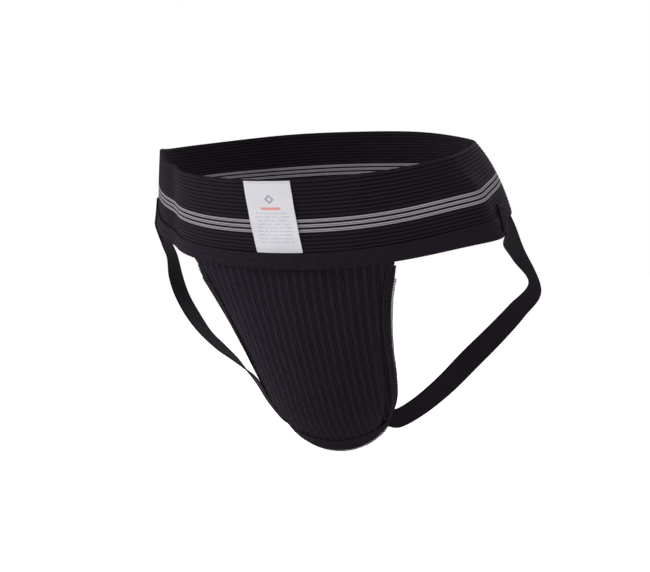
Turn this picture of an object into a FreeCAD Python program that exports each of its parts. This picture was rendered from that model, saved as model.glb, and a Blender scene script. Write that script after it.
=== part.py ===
import FreeCAD, Part
import math
import os

# Groin protector: a three-inch ribbed waistband with a hanging pouch, two leg straps and a
# hard cup that lifts out of the pouch. Millimetres. The origin is the centre of the ring made
# by the top rim of the waistband, +Z is up, the front of the wearer faces -Y and the wearer's
# left is +X.

doc = FreeCAD.newDocument("groin_protector")
sheet = doc.addObject("Spreadsheet::Sheet", "Sizes")

SIZES = (
    # waistband
    ("rim_half_width", 141.4),
    ("rim_half_depth", 107.8),
    ("rim_front_dip", 28.8),
    ("corner_lift_left", 3.7),
    ("corner_lift_right", 14.9),
    ("left_fold_depth", 12.0),
    ("right_dent_depth", 5.9),
    ("hem_half_width", 166.2),
    ("hem_front_depth", 68.3),
    ("hem_back_depth", 153.9),
    ("band_tall", 76.0),
    ("band_thick", 2.0),
    ("gap_cloth", 0.3),
    # lower edge tape, label
    ("tape_tall", 19.0),
    ("tape_overhang", 7.0),
    ("tape_thick", 1.2),
    ("label_wide", 40.3),
    ("label_thick", 0.35),
    ("thread_thick", 0.5),
    # pouch
    ("pouch_half_width", 92.3),
    ("pouch_run", 126.3),
    ("pouch_drop", 164.1),
    ("pouch_thick", 1.6),
    ("edging_wide", 10.0),
    ("edging_thick", 1.1),
    # leg straps
    ("strap_wide", 25.0),
    ("strap_thick", 1.3),
    # cup
    ("cup_half_width", 45.0),
    ("cup_half_length", 64.0),
    ("cup_depth", 34.0),
    ("cup_wall", 2.8),
    ("cup_tilt", 39.0),
    ("cup_clearance", 2.5),
    ("cup_flange", 4.0),
    ("cushion_wide", 9.0),
    ("cushion_thick", 6.0),
    ("vent_radius", 4.0),
)
for line, (alias, value) in enumerate(SIZES, start=1):
    sheet.set("A%d" % line, alias)
    sheet.set("B%d" % line, str(value))
    sheet.setAlias("B%d" % line, alias)
doc.recompute()


def size(alias):
    """A driving size read back from the sheet."""
    return float(sheet.get(alias))


Vector = FreeCAD.Vector
FRONT = 270.0
CLOTH = size("gap_cloth")
HEM_LINE = size("band_tall") + size("tape_overhang")
# the wearer faces -Y, so the wearer's left is +X
SIDES = (("right", -1), ("left", 1))

# ---------------------------------------------------------------- curves and thick sheets


def mix(first, second, share):
    return first + (second - first) * share


def smooth(rows, place):
    """Catmull-Rom value of a table of equally spaced rows at a place counted in rows."""
    last = len(rows) - 1
    start = min(max(int(math.floor(place)), 0), last - 1)
    share = place - start
    before = rows[max(start - 1, 0)]
    after = rows[min(start + 2, last)]
    values = []
    for p0, p1, p2, p3 in zip(before, rows[start], rows[start + 1], after):
        if start == 0:
            p0 = 2 * p1 - p2
        if start == last - 1:
            p3 = 2 * p2 - p1
        curve = 2 * p1 + (p2 - p0) * share + (2 * p0 - 5 * p1 + 4 * p2 - p3) * share ** 2
        curve += (3 * p1 - p0 - 3 * p2 + p3) * share ** 3
        values.append(curve / 2)
    return values


def surface_normal(surface, u, v, step_u, step_v):
    """Unit normal of a surface function by central differences."""
    along_u = surface(u + step_u, v) - surface(u - step_u, v)
    along_v = surface(u, v + step_v) - surface(u, v - step_v)
    return along_u.cross(along_v).normalize()


def section_wire(outer, inner):
    """Closed cross-section of a sheet: outer face, edge, inner face, edge."""
    edges = []
    for points in (outer, inner):
        if len(points) == 2:
            edges.append(Part.LineSegment(points[0], points[1]).toShape())
        else:
            curve = Part.BSplineCurve()
            curve.interpolate(points)
            edges.append(curve.toShape())
    far_edge = Part.LineSegment(outer[-1], inner[-1]).toShape()
    near_edge = Part.LineSegment(inner[0], outer[0]).toShape()
    return Part.Wire([edges[0], far_edge, edges[1], near_edge])


def loft_sections(sections, faceted=False, ring=False):
    """Solid through flat-ended cross-sections, turned so that its faces look outwards."""
    wires = [section_wire(outer, inner) for outer, inner in sections]
    solid = Part.makeLoft(wires, True, faceted, ring)
    if solid.Volume < 0:
        solid = Part.makeLoft(wires[::-1], True, faceted, ring)
    return solid


def sheet_solid(sections):
    """Solid between two smooth faces through the sections, closed by ruled edges."""
    faces = []
    for points in ([outer for outer, inner in sections], [inner for outer, inner in sections]):
        surface = Part.BSplineSurface()
        surface.interpolate(points)
        faces.append(surface.toShape())
    outer_surface = faces[0].Surface
    inner_surface = faces[1].Surface
    for take in ("uIso", "vIso"):
        first, last = outer_surface.bounds()[:2] if take == "uIso" else outer_surface.bounds()[2:]
        for place in (first, last):
            outer_edge = getattr(outer_surface, take)(place).toShape()
            inner_edge = getattr(inner_surface, take)(place).toShape()
            faces.append(Part.makeRuledSurface(outer_edge, inner_edge))
    shell = Part.Shell(faces)
    shell.sewShape()
    shell = shell.Shells[0]
    solid = Part.Solid(shell)
    if solid.Volume < 0:
        shell.reverse()
        solid = Part.Solid(shell)
    return solid


def add_shape(name, shape):
    """One named sub-part whose solid follows a free surface."""
    part = doc.addObject("Part::Feature", name)
    part.Label = name
    part.Shape = shape
    return part


# ---------------------------------------------------------------- waistband surface

LEAN_FRONT = 0.912
LEAN_BACK = 0.830
LEAN_SIDE_LOSS = 0.0735
BOW_SIDE = 0.6
BOW_FRONT = 1.5
BOW_BACK = 5.7
# the soft ring folds outwards at the wearer's left hip, dents by the right one and is pulled
# up to a corner there: angle round the waist and how fast each dies away to either side
FOLD_ANGLE = 337.3
FOLD_FADE = 6.3
FOLD_ROUND = 6.3
FOLD_AT_RIM = 0.3
FOLD_FULL_SHARE = 0.45
DENT_ANGLE = 220.0
DENT_FADE = 6.2
CORNER_ANGLE = 199.0
CORNER_FADE_FRONT = 24.0
CORNER_FADE_BACK = 32.0
CREST_ROUND = 3.4
# the left hip bulges between its edges
BULGE_ANGLE = 25.0
BULGE_SPAN = 40.0
BULGE_OUT = 2.9
BULGE_UP = 3.9


def from_angle(angle, centre):
    """Signed difference between two angles, in degrees, -180 to 180."""
    return (angle - centre + 180.0) % 360.0 - 180.0


def crest(away, fade, rounding=CREST_ROUND):
    """1 at a fold's line, dying away on both sides of it."""
    return math.exp(-(math.hypot(away, rounding) - rounding) / fade)


def band_point(angle, down, lift=0.0):
    """Point on the outside of the waistband: angle round the waist, distance below the rim."""
    turn = math.radians(angle)
    sine = math.sin(turn)
    cosine = math.cos(turn)
    share = down / HEM_LINE
    bow = 4 * share * (1 - share)
    half_width = mix(size("rim_half_width"), size("hem_half_width"), share) + BOW_SIDE * bow
    front = mix(size("rim_half_depth"), size("hem_front_depth"), share) + BOW_FRONT * bow
    back = mix(size("rim_half_depth"), size("hem_back_depth"), share) + BOW_BACK * bow
    backward = (1 + sine) / 2
    sideways = cosine ** 2
    rim_height = mix(-size("rim_front_dip"), size("rim_front_dip"), backward)
    if cosine > 0:
        lift_sharpness = 1.5 if sine < 0 else 6.0
        rim_height += size("corner_lift_left") * sideways ** lift_sharpness
    past_corner = from_angle(angle, CORNER_ANGLE)
    corner_fade = CORNER_FADE_FRONT if past_corner > 0 else CORNER_FADE_BACK
    rim_height += size("corner_lift_right") * crest(past_corner, corner_fade)
    deepening = min(max(share / FOLD_FULL_SHARE, 0.0), 1.0)
    deepening = mix(FOLD_AT_RIM, 1.0, deepening ** 2 * (3 - 2 * deepening))
    fold = crest(from_angle(angle, FOLD_ANGLE), FOLD_FADE, FOLD_ROUND)
    pushed = size("left_fold_depth") * deepening * fold
    pushed -= size("right_dent_depth") * crest(from_angle(angle, DENT_ANGLE), DENT_FADE)
    bulge = bow * math.exp(-(from_angle(angle, BULGE_ANGLE) / BULGE_SPAN) ** 2)
    pushed += BULGE_OUT * bulge
    lean = mix(LEAN_FRONT, LEAN_BACK, backward) - LEAN_SIDE_LOSS * sideways
    across = (half_width + pushed) * cosine
    along = (back - front) / 2 + ((back + front) / 2 + pushed) * sine
    point = Vector(across, along, rim_height - lean * down + BULGE_UP * bulge)
    if lift:
        point += band_normal(angle, down) * lift
    return point


def band_normal(angle, down):
    return surface_normal(band_point, angle, down, 0.2, 0.2) * -1


def band_strip(angles, tops, bottoms, low, high, rows=3, ring=False):
    """Sheet lying on the waistband between two heights above its outside."""
    sections = []
    for angle, top, bottom in zip(angles, tops, bottoms):
        levels = [mix(top, bottom, row / (rows - 1)) for row in range(rows)]
        outer = [band_point(angle, level, high) for level in levels]
        inner = [band_point(angle, level, low) for level in levels]
        sections.append((outer, inner))
    if ring:
        return loft_sections(sections, ring=True)
    return sheet_solid(sections)


def spread(first, last, count):
    return [mix(first, last, step / (count - 1)) for step in range(count)]


# sections round the ring, close together where it folds
COARSE_STEP = 8.0
FINE_STEP = 2.0
FOLDED_SPAN = 18.0


def ring_stations(first, last):
    """Angles from first to last, closer together near the folds of the ring."""
    angles = [first]
    while angles[-1] < last - 1e-6:
        near_fold = min(abs(from_angle(angles[-1] + FINE_STEP, fold))
                        for fold in (FOLD_ANGLE, DENT_ANGLE, CORNER_ANGLE))
        step = FINE_STEP if near_fold < FOLDED_SPAN else COARSE_STEP
        following = angles[-1] + step
        angles.append(last if following > last - FINE_STEP / 2 else following)
    return angles


ring_angles = ring_stations(FRONT, FRONT + 360.0)[:-1]
band_tops = [0.0] * len(ring_angles)
band_bottoms = [size("band_tall")] * len(ring_angles)
add_shape("waistband", band_strip(ring_angles, band_tops, band_bottoms,
                                  -size("band_thick"), 0.0, rows=5, ring=True))

STRAP_END_ANGLE = 73.0
TAPE_END_ANGLE = STRAP_END_ANGLE - 1.5
tape_top = HEM_LINE - size("tape_tall")


TAPE_RISE = 4.0
TAPE_STAND = 0.5
TAPE_SECTIONS = 72


def tape_run(from_front, top_share, bottom_share, low, high, thread=0.0):
    """Strip along the tape between two shares of its height, or a thread about one share."""
    angles = spread(FRONT - from_front, FRONT + from_front, TAPE_SECTIONS)
    tops = []
    bottoms = []
    for angle in angles:
        rise = TAPE_RISE * (1 - ((angle - FRONT) / TAPE_END_ANGLE) ** 4)
        tape_bottom = HEM_LINE - rise
        tops.append(mix(tape_top, tape_bottom, top_share) - thread / 2)
        bottoms.append(mix(tape_top, tape_bottom, bottom_share) + thread / 2)
    return band_strip(angles, tops, bottoms, low, high)


# the tape stands a little off the band, which is seamed and gathered under it
tape_low = CLOTH + TAPE_STAND
tape_high = tape_low + size("tape_thick")
add_shape("lower_edge_tape", tape_run(TAPE_END_ANGLE, 0.0, 1.0, tape_low, tape_high))

stitch_low = tape_high + CLOTH / 2
stitch_high = stitch_low + size("thread_thick")
TAPE_ROWS = (0.12, 0.50, 0.88)
thread_runs = [tape_run(TAPE_END_ANGLE - 1.0, row, row, stitch_low, stitch_high,
                        thread=size("thread_thick")) for row in TAPE_ROWS]
add_shape("tape_stitching", Part.makeCompound(thread_runs))

LABEL_TOP = 0.8
label_bottom = tape_top - CLOTH
label_half_angle = math.degrees(size("label_wide") / 2 / size("rim_half_width"))


def label_strip(half_share, top, bottom, low, high):
    count = 9
    sections = []
    for step in range(count):
        reach = mix(-half_share, half_share, step / (count - 1))
        outer = []
        inner = []
        for row in range(5):
            down = mix(top, bottom, row / 4.0)
            half_width = mix(size("rim_half_width"), size("hem_half_width"), down / HEM_LINE)
            angle = FRONT + math.degrees(math.asin(reach * size("label_wide") / 2 / half_width))
            outer.append(band_point(angle, down, high))
            inner.append(band_point(angle, down, low))
        sections.append((outer, inner))
    return sheet_solid(sections)


label_low = CLOTH
label_high = CLOTH + size("label_thick")
add_shape("label", label_strip(1.0, LABEL_TOP, label_bottom, label_low, label_high))

LABEL_ROWS = (2.2, label_bottom - 3.4, label_bottom - 1.6)
label_threads = []
for level in LABEL_ROWS:
    label_threads.append(label_strip(0.94, level - 0.2, level + 0.2,
                                     label_high + CLOTH / 2, label_high + CLOTH))
add_shape("label_stitching", Part.makeCompound(label_threads))

# the waistband's own closing seam, on the inside behind the label
SEAM_STEPS = 12
seam_half_angle = 1.6
seam_bars = []
for step in range(SEAM_STEPS):
    first = mix(4.0, size("band_tall") - 4.0, step / SEAM_STEPS)
    last = mix(4.0, size("band_tall") - 4.0, (step + 0.9) / SEAM_STEPS)
    swing = seam_half_angle if step % 2 else -seam_half_angle
    count = 3
    angles = spread(FRONT - swing, FRONT + swing, count)
    tops = spread(first, last, count)
    bottoms = [level + 0.8 for level in tops]
    inside = -size("band_thick") - CLOTH / 2
    seam_bars.append(band_strip(angles, tops, bottoms, inside - size("thread_thick"), inside))
add_shape("waistband_seam_stitching", Part.makeCompound(seam_bars))

# ---------------------------------------------------------------- pouch surface

# half width, run backward and drop of the leg edges, then run and drop of the centre line,
# each as a share of the pouch's own sizes, from the top of the pouch to its bottom hem
POUCH_ROWS = (
    (1.000, 0.146, -0.056, 0.000, 0.000, 0.93),
    (0.895, 0.270, 0.100, 0.097, 0.144, 0.92),
    (0.823, 0.406, 0.244, 0.208, 0.284, 0.80),
    (0.764, 0.572, 0.400, 0.343, 0.448, 0.70),
    (0.720, 0.747, 0.552, 0.509, 0.631, 0.66),
    (0.661, 0.893, 0.698, 0.715, 0.832, 0.66),
    (0.542, 0.992, 0.832, 1.000, 1.000, 0.74),
)
POUCH_END = len(POUCH_ROWS) - 1
hem_centre = band_point(FRONT, HEM_LINE)


def pouch_point(row, side):
    """Outside of the pouch: row counted down from the tape, side -90 to +90 leg to leg."""
    wide, edge_run, edge_drop, run, drop, roundness = smooth(POUCH_ROWS, row)
    swing = math.radians(side)
    centred = max(math.cos(swing), 0.0) ** (2 * roundness)
    across = wide * size("pouch_half_width") * math.sin(swing)
    along = mix(edge_run, run, centred) * size("pouch_run")
    down = mix(edge_drop, drop, centred) * size("pouch_drop")
    return Vector(across, hem_centre.y + along, hem_centre.z - down)


def pouch_normal(row, side):
    inside_side = min(max(side, -86.0), 86.0)
    return surface_normal(pouch_point, row, inside_side, 0.02, 0.5)


def pouch_side(row, from_edge):
    """Side angle of the place that lies a given distance in from the right leg edge."""
    travelled = 0.0
    side = 90.0
    here = pouch_point(row, side)
    while travelled < from_edge:
        following = pouch_point(row, side - 0.5)
        travelled += here.distanceToPoint(following)
        here = following
        side -= 0.5
    return side + (travelled - from_edge) * 0.5 / 1.5


def pouch_section(row, first_side, last_side, low, high, count):
    outer = []
    inner = []
    for side in spread(first_side, last_side, count):
        normal = pouch_normal(row, side)
        outer.append(pouch_point(row, side) + normal * high)
        inner.append(pouch_point(row, side) + normal * low)
    return outer, inner


def pouch_patch(rows, first_sides, last_sides, low, high, count=3):
    sections = []
    for row, first, last in zip(rows, first_sides, last_sides):
        sections.append(pouch_section(row, first, last, low, high, count))
    return sheet_solid(sections)


PANEL_INSET = 2.0
PANEL_TOP = -0.15
panel_rows = spread(PANEL_TOP, POUCH_END - 0.08, 17)
panel_sides = [pouch_side(row, PANEL_INSET) for row in panel_rows]
PANEL_SINK = 1.1
panel_sections = []
for row, side in zip(panel_rows, panel_sides):
    sink = -PANEL_SINK * max(1.0 - max(row, 0.0), 0.0)
    panel_sections.append(pouch_section(row, -side, side, sink - size("pouch_thick"), sink, 15))
add_shape("pouch_panel", sheet_solid(panel_sections))

edging_low = CLOTH
edging_high = CLOTH + size("edging_thick")
EDGING_TOP = 0.12
edging_rows = spread(EDGING_TOP, POUCH_END - 0.72, 15)
outer_sides = [pouch_side(row, 0.0) for row in edging_rows]
inner_sides = [pouch_side(row, size("edging_wide")) for row in edging_rows]
middle_sides = [pouch_side(row, size("edging_wide") * 0.8) for row in edging_rows]
thread_sides = [pouch_side(row, size("edging_wide") * 0.8 + 0.6) for row in edging_rows]
thread_low = edging_high + CLOTH / 2
thread_high = thread_low + size("thread_thick")
edging_threads = []
for label, sign in SIDES:
    outer_signed = [sign * side for side in outer_sides]
    inner_signed = [sign * side for side in inner_sides]
    edging = pouch_patch(edging_rows, inner_signed, outer_signed, edging_low, edging_high)
    add_shape("leg_edging_" + label, edging)
    edging_threads.append(pouch_patch(edging_rows[1:-1],
                                      [sign * side for side in thread_sides[1:-1]],
                                      [sign * side for side in middle_sides[1:-1]],
                                      thread_low, thread_high))
add_shape("leg_edging_stitching", Part.makeCompound(edging_threads))

HEM_ROWS = (POUCH_END - 0.58, POUCH_END)
hem_sides = spread(-88.0, 88.0, 19)


def hem_band(first_row, last_row, low, high, sides):
    sections = []
    for side in sides:
        outer = []
        inner = []
        for row in spread(first_row, last_row, 3):
            normal = pouch_normal(row, side)
            outer.append(pouch_point(row, side) + normal * high)
            inner.append(pouch_point(row, side) + normal * low)
        sections.append((outer, inner))
    return sheet_solid(sections)


add_shape("pouch_bottom_hem", hem_band(HEM_ROWS[0], HEM_ROWS[1], edging_low, edging_high,
                                       hem_sides))
add_shape("bottom_hem_stitching", hem_band(HEM_ROWS[0] + 0.06, HEM_ROWS[0] + 0.10,
                                           thread_low, thread_high, hem_sides[1:-1]))

# ---------------------------------------------------------------- leg straps

# centre of the strap (shares of the hem's half width, its back depth and the whole drop) and
# the direction its width points in, from the waistband down to the pouch
STRAP_ROWS = {
    "left": (
        (1.000, 0.226, 0.268, 5.5, 15.0, 14.0),
        (1.006, 0.428, 0.328, 4.9, 22.0, 9.2),
        (1.056, 0.629, 0.437, 6.5, 22.0, -7.5),
        (0.961, 0.608, 0.519, 9.1, 19.5, -11.0),
        (0.848, 0.565, 0.600, 9.5, 18.3, -14.1),
        (0.722, 0.517, 0.683, 9.7, 17.5, -15.4),
        (0.595, 0.465, 0.769, 8.4, 17.7, -14.5),
        (0.469, 0.415, 0.839, 4.1, 18.0, -17.0),
        (0.346, 0.409, 0.885, -1.0, 16.5, -18.7),
    ),
    "right": (
        (1.000, 0.226, 0.268, 5.5, 15.0, 14.0),
        (1.035, 0.408, 0.333, 1.7, 22.0, 3.0),
        (1.069, 0.532, 0.408, -2.0, 22.0, 1.0),
        (1.058, 0.596, 0.479, -3.1, 22.0, 0.0),
        (0.992, 0.606, 0.551, -2.4, 22.0, 1.6),
        (0.898, 0.583, 0.615, -1.3, 22.0, 0.0),
        (0.782, 0.545, 0.666, 1.4, 22.0, 1.3),
        (0.674, 0.502, 0.705, 4.9, 23.0, -0.4),
        (0.585, 0.463, 0.741, 9.8, 23.0, -2.7),
        (0.512, 0.434, 0.775, 8.5, 22.0, -8.4),
        (0.430, 0.400, 0.830, 4.0, 19.0, -14.0),
        (0.346, 0.409, 0.885, -1.0, 16.5, -18.7),
    ),
}
WHOLE_DROP = size("pouch_drop") - hem_centre.z
STRAP_STAND = 0.8
strap_lift = CLOTH + STRAP_STAND + size("strap_thick") / 2
# angle from the front, distance down and half the turn of the width across the hem
STRAP_ROOT = ((STRAP_END_ANGLE + 1.5, 67.0, 2.2), (STRAP_END_ANGLE + 7.0, 72.5, 4.2))
# rows of the pouch that the two edges of the strap's lower end lie behind, and how far in from
# the leg edge and how far behind the knit the end runs
SEAT_ROWS = (5.30, 6.15)
SEAT_RUN = ((3.0, 2.0), (16.0, 1.2))


def strap_stations(side_name, sign):
    """Centre and width direction of one strap, mirrored to +X for either side."""
    stations = []
    for from_front, down, turn in STRAP_ROOT:
        ends = []
        for step in (0, 1, -1):
            spot = band_point(FRONT + sign * (from_front + step * turn), down - step * 10.0,
                              strap_lift)
            ends.append(Vector(sign * spot.x, spot.y, spot.z))
        stations.append((ends[0], (ends[1] - ends[2]).normalize()))
    for across, backward, drop, wide_x, wide_y, wide_z in STRAP_ROWS[side_name]:
        centre = Vector(across * size("hem_half_width"), backward * size("hem_back_depth"),
                        -drop * WHOLE_DROP)
        stations.append((centre, Vector(wide_x, wide_y, wide_z).normalize()))
    for inset, stand in SEAT_RUN:
        depth = size("pouch_thick") + CLOTH + size("strap_thick") / 2 + stand
        ends = []
        for row in SEAT_ROWS:
            side = pouch_side(row, inset)
            ends.append(pouch_point(row, side) - pouch_normal(row, side) * depth)
        stations.append(((ends[0] + ends[1]) / 2, (ends[1] - ends[0]).normalize()))
    return stations


def strap_frames(side_name, sign, steps_between=5):
    """Dense list of centre, width direction and face normal along one strap."""
    rows = []
    for centre, direction in strap_stations(side_name, sign):
        rows.append(tuple(centre) + tuple(direction))
    total = (len(rows) - 1) * steps_between
    centres = []
    widths = []
    for step in range(total + 1):
        values = smooth(rows, step / steps_between)
        centres.append(Vector(*values[:3]))
        widths.append(Vector(*values[3:]).normalize())
    frames = []
    for step in range(total + 1):
        ahead = centres[min(step + 1, total)] - centres[max(step - 1, 0)]
        normal = widths[step].cross(ahead).normalize()
        frames.append((centres[step], widths[step], normal))
    return frames


def strap_strip(frames, low_across, high_across, low, high, sign):
    """Sheet on a strap between two places across its width and two heights off its middle."""
    sections = []
    for centre, width, normal in frames:
        corners = []
        for across, lift in ((low_across, high), (high_across, high),
                             (low_across, low), (high_across, low)):
            corner = centre + width * across + normal * lift
            corners.append(Vector(sign * corner.x, corner.y, corner.z))
        sections.append(((corners[0], corners[1]), (corners[2], corners[3])))
    return loft_sections(sections, faceted=True)


half_strap = size("strap_wide") / 2
half_thick = size("strap_thick") / 2
top_tacks = []
bottom_tacks = []
for side_name, sign in SIDES:
    frames = strap_frames(side_name, sign)
    add_shape("leg_strap_" + side_name,
              strap_strip(frames, -half_strap, half_strap, -half_thick, half_thick, sign))
    tack_low = half_thick + CLOTH / 2
    tack_high = tack_low + size("thread_thick")
    outward = 1 if frames[1][2].x > 0 else -1
    for first, last in ((-0.80, -0.74), (0.74, 0.80)):
        low, high = sorted((outward * tack_low, outward * tack_high))
        top_tacks.append(strap_strip(frames[1:5], first * half_strap, last * half_strap,
                                     low, high, sign))
    inward = -outward
    for first, last in ((-0.80, -0.74), (0.74, 0.80)):
        low, high = sorted((inward * tack_low, inward * tack_high))
        bottom_tacks.append(strap_strip(frames[-5:-1], first * half_strap, last * half_strap,
                                        low, high, sign))
add_shape("strap_top_tacks", Part.makeCompound(top_tacks))
add_shape("strap_bottom_tacks", Part.makeCompound(bottom_tacks))

# ---------------------------------------------------------------- cup

# drawn upright about its own rim centre: length along Z, width along X, bulge towards -Y
UPRIGHT = FreeCAD.Rotation(Vector(0, 0, -1), Vector(1, 0, 0), Vector(0, -1, 0), "ZXY")
CUP_ROW = 3.25


def ellipse(name, half_length, half_width, depth):
    """Cup outline at a depth in front of the rim plane, its sizes given as expressions."""
    curve = doc.addObject("Part::Ellipse", name)
    curve.Placement = FreeCAD.Placement(Vector(0, 0, 0), UPRIGHT)
    curve.setExpression("MajorRadius", half_length)
    curve.setExpression("MinorRadius", half_width)
    curve.setExpression("Placement.Base.y", "-(%s)" % depth)
    curve.Visibility = False
    return curve


def loft(name, sections, ruled=False):
    solid = doc.addObject("Part::Loft", name)
    solid.Sections = sections
    solid.Solid = True
    solid.Ruled = ruled
    return solid


def cut(name, base, tool):
    result = doc.addObject("Part::Cut", name)
    result.Base = base
    result.Tool = tool
    return result


def seat(result, name):
    """Name a finished cup piece and set it in the pouch at the cup's tilt."""
    result.Label = name
    result.Placement = FreeCAD.Placement(cup_seat, FreeCAD.Rotation(Vector(1, 0, 0),
                                                                    size("cup_tilt")))
    result.setExpression("Placement.Rotation.Angle", "Sizes.cup_tilt")


DOME = ((0.00, 1.00), (0.35, 0.97), (0.65, 0.86), (0.88, 0.64), (1.00, 0.34))


def dome(name, inset, reach):
    """Cup-shaped solid, inset all round from the outside of the cup."""
    sections = []
    for number, (share, scale) in enumerate(DOME):
        long_half = "%g * (Sizes.cup_half_length - %s)" % (scale, inset)
        wide_half = "%g * (Sizes.cup_half_width - %s)" % (scale, inset)
        depth = "%g * (Sizes.cup_depth - %s)" % (share, inset)
        if share == 0:
            depth = reach
        sections.append(ellipse("%s_%d" % (name, number), long_half, wide_half, depth))
    return loft(name, sections)


def elliptic_disc(name, grow, near, far):
    """Flat elliptic block between two depths, grown all round from the cup's outline."""
    sections = []
    for number, depth in enumerate((near, far)):
        sections.append(ellipse("%s_%d" % (name, number), "Sizes.cup_half_length + %s" % grow,
                                "Sizes.cup_half_width + %s" % grow, depth))
    return loft(name, sections, ruled=True)


front_of_pouch = pouch_point(CUP_ROW, 0.0)
tilt = math.radians(size("cup_tilt"))
backward = Vector(0, math.cos(tilt), math.sin(tilt))
cup_seat = front_of_pouch + backward * (size("pouch_thick") + size("cup_clearance")
                                        + size("cup_depth"))

cup_outside = dome("cup_outside", "0", "0")
cup_flange = elliptic_disc("cup_flange", "Sizes.cup_flange", "0", "Sizes.cup_wall")
cup_body = doc.addObject("Part::Fuse", "cup_body")
cup_body.Base = cup_outside
cup_body.Tool = cup_flange
cup_inside = dome("cup_inside", "Sizes.cup_wall", "-0.5 * Sizes.cup_wall")
cup_hollow = cut("cup_hollow", cup_body, cup_inside)

VENTS = ((-0.44, 0.0), (-0.24, -0.30), (-0.24, 0.30), (0.0, 0.0), (0.0, -0.52), (0.0, 0.52),
         (0.24, -0.30), (0.24, 0.30), (0.44, 0.0))
vent_pins = []
for number, (along, across) in enumerate(VENTS):
    pin = doc.addObject("Part::Cylinder", "vent_%d" % number)
    pin.setExpression("Radius", "Sizes.vent_radius")
    pin.setExpression("Height", "2 * Sizes.cup_depth")
    pin.Placement = FreeCAD.Placement(Vector(0, 0, 0), UPRIGHT)
    pin.setExpression("Placement.Base.x", "%g * Sizes.cup_half_width" % across)
    pin.setExpression("Placement.Base.z", "%g * Sizes.cup_half_length" % along)
    vent_pins.append(pin)
vents = doc.addObject("Part::MultiFuse", "vents")
vents.Shapes = vent_pins
cup_shell = cut("cup_shell", cup_hollow, vents)

near_side = "-(Sizes.gap_cloth)"
far_side = "-(Sizes.gap_cloth + Sizes.cushion_thick)"
cushion_grow = "Sizes.cup_flange + 1"
cushion_outside = elliptic_disc("cushion_outside", cushion_grow, near_side, far_side)
cushion_inside = elliptic_disc("cushion_inside", "(%s - Sizes.cushion_wide)" % cushion_grow,
                               "0", "-(2 * Sizes.gap_cloth + Sizes.cushion_thick)")
cup_cushion = cut("cup_cushion", cushion_outside, cushion_inside)
doc.recompute()
seat(cup_shell, "cup_shell")
seat(cup_cushion, "cup_cushion")

# ---------------------------------------------------------------- checks and export

NODES = (
    "waistband", "waistband_seam_stitching", "lower_edge_tape", "tape_stitching",
    "label", "label_stitching",
    "pouch_panel", "leg_edging_left", "leg_edging_right", "leg_edging_stitching",
    "pouch_bottom_hem", "bottom_hem_stitching",
    "leg_strap_left", "leg_strap_right", "strap_top_tacks", "strap_bottom_tacks",
    "cup_shell", "cup_cushion",
)
doc.recompute()
for item in doc.Objects:
    if "Invalid" in item.State or "Error" in item.State:
        raise RuntimeError("%s did not recompute: %s" % (item.Label, item.State))

os.makedirs("parts", exist_ok=True)
for name in NODES:
    shape = doc.getObjectsByLabel(name)[0].Shape
    if shape.isNull() or not shape.isValid() or not shape.Solids:
        raise RuntimeError("%s is not a valid solid" % name)
    shape.exportStep("parts/%s.step" % name)
    box = shape.BoundBox
    print("%-26s %3d solids  x %7.1f %7.1f  y %7.1f %7.1f  z %7.1f %7.1f" % (
        name, len(shape.Solids), box.XMin, box.XMax, box.YMin, box.YMax, box.ZMin, box.ZMax))
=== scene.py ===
import math

import bpy
import numpy as np
from bpy.props import FloatProperty, FloatVectorProperty, IntProperty, PointerProperty
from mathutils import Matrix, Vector


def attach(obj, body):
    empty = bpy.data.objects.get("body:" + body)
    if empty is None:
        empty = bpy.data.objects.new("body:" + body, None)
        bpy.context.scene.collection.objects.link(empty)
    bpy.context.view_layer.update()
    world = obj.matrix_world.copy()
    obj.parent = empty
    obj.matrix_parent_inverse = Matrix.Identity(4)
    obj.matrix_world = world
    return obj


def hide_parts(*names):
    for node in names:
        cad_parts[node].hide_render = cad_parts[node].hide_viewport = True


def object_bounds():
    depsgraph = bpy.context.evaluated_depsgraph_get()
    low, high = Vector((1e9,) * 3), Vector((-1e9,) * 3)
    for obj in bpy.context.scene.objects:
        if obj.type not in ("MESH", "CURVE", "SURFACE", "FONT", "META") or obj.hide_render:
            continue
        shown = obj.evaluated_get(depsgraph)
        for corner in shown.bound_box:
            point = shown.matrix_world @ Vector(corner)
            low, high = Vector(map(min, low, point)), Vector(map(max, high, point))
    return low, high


bl_info = {
    "name": "Groin protector",
    "version": (1, 0, 0),
    "blender": (4, 5, 0),
    "location": "3D View > Sidebar > Supporter",
    "description": "Waistband, pouch, leg straps and lift-out cup of a groin protector",
    "category": "Object",
}

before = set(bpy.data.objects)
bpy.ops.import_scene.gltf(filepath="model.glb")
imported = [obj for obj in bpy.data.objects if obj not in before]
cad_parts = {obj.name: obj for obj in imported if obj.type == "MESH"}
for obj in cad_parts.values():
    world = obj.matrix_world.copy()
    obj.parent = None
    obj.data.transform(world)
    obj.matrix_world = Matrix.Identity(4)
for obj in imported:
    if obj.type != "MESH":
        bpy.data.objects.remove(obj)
CAD_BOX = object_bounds()

# ---------------------------------------------------------------- shapes shared with the frame
# metres; the origin is the centre of the waistband's rim, the front faces -Y

FRONT = 270.0
RIM_HALF_WIDTH = 0.1414
RIM_HALF_DEPTH = 0.1078
RIM_FRONT_DIP = 0.0288
CORNER_LIFT_LEFT = 0.0037
CORNER_LIFT_RIGHT = 0.0149
HEM_HALF_WIDTH = 0.1662
HEM_FRONT_DEPTH = 0.0683
HEM_BACK_DEPTH = 0.1539
BAND_TALL = 0.076
BAND_THICK = 0.002
HEM_LINE = 0.083
BOW_SIDE = 0.0006
BOW_FRONT = 0.0015
BOW_BACK = 0.0057
LEAN_FRONT = 0.912
LEAN_BACK = 0.830
LEAN_SIDE_LOSS = 0.0735
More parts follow.
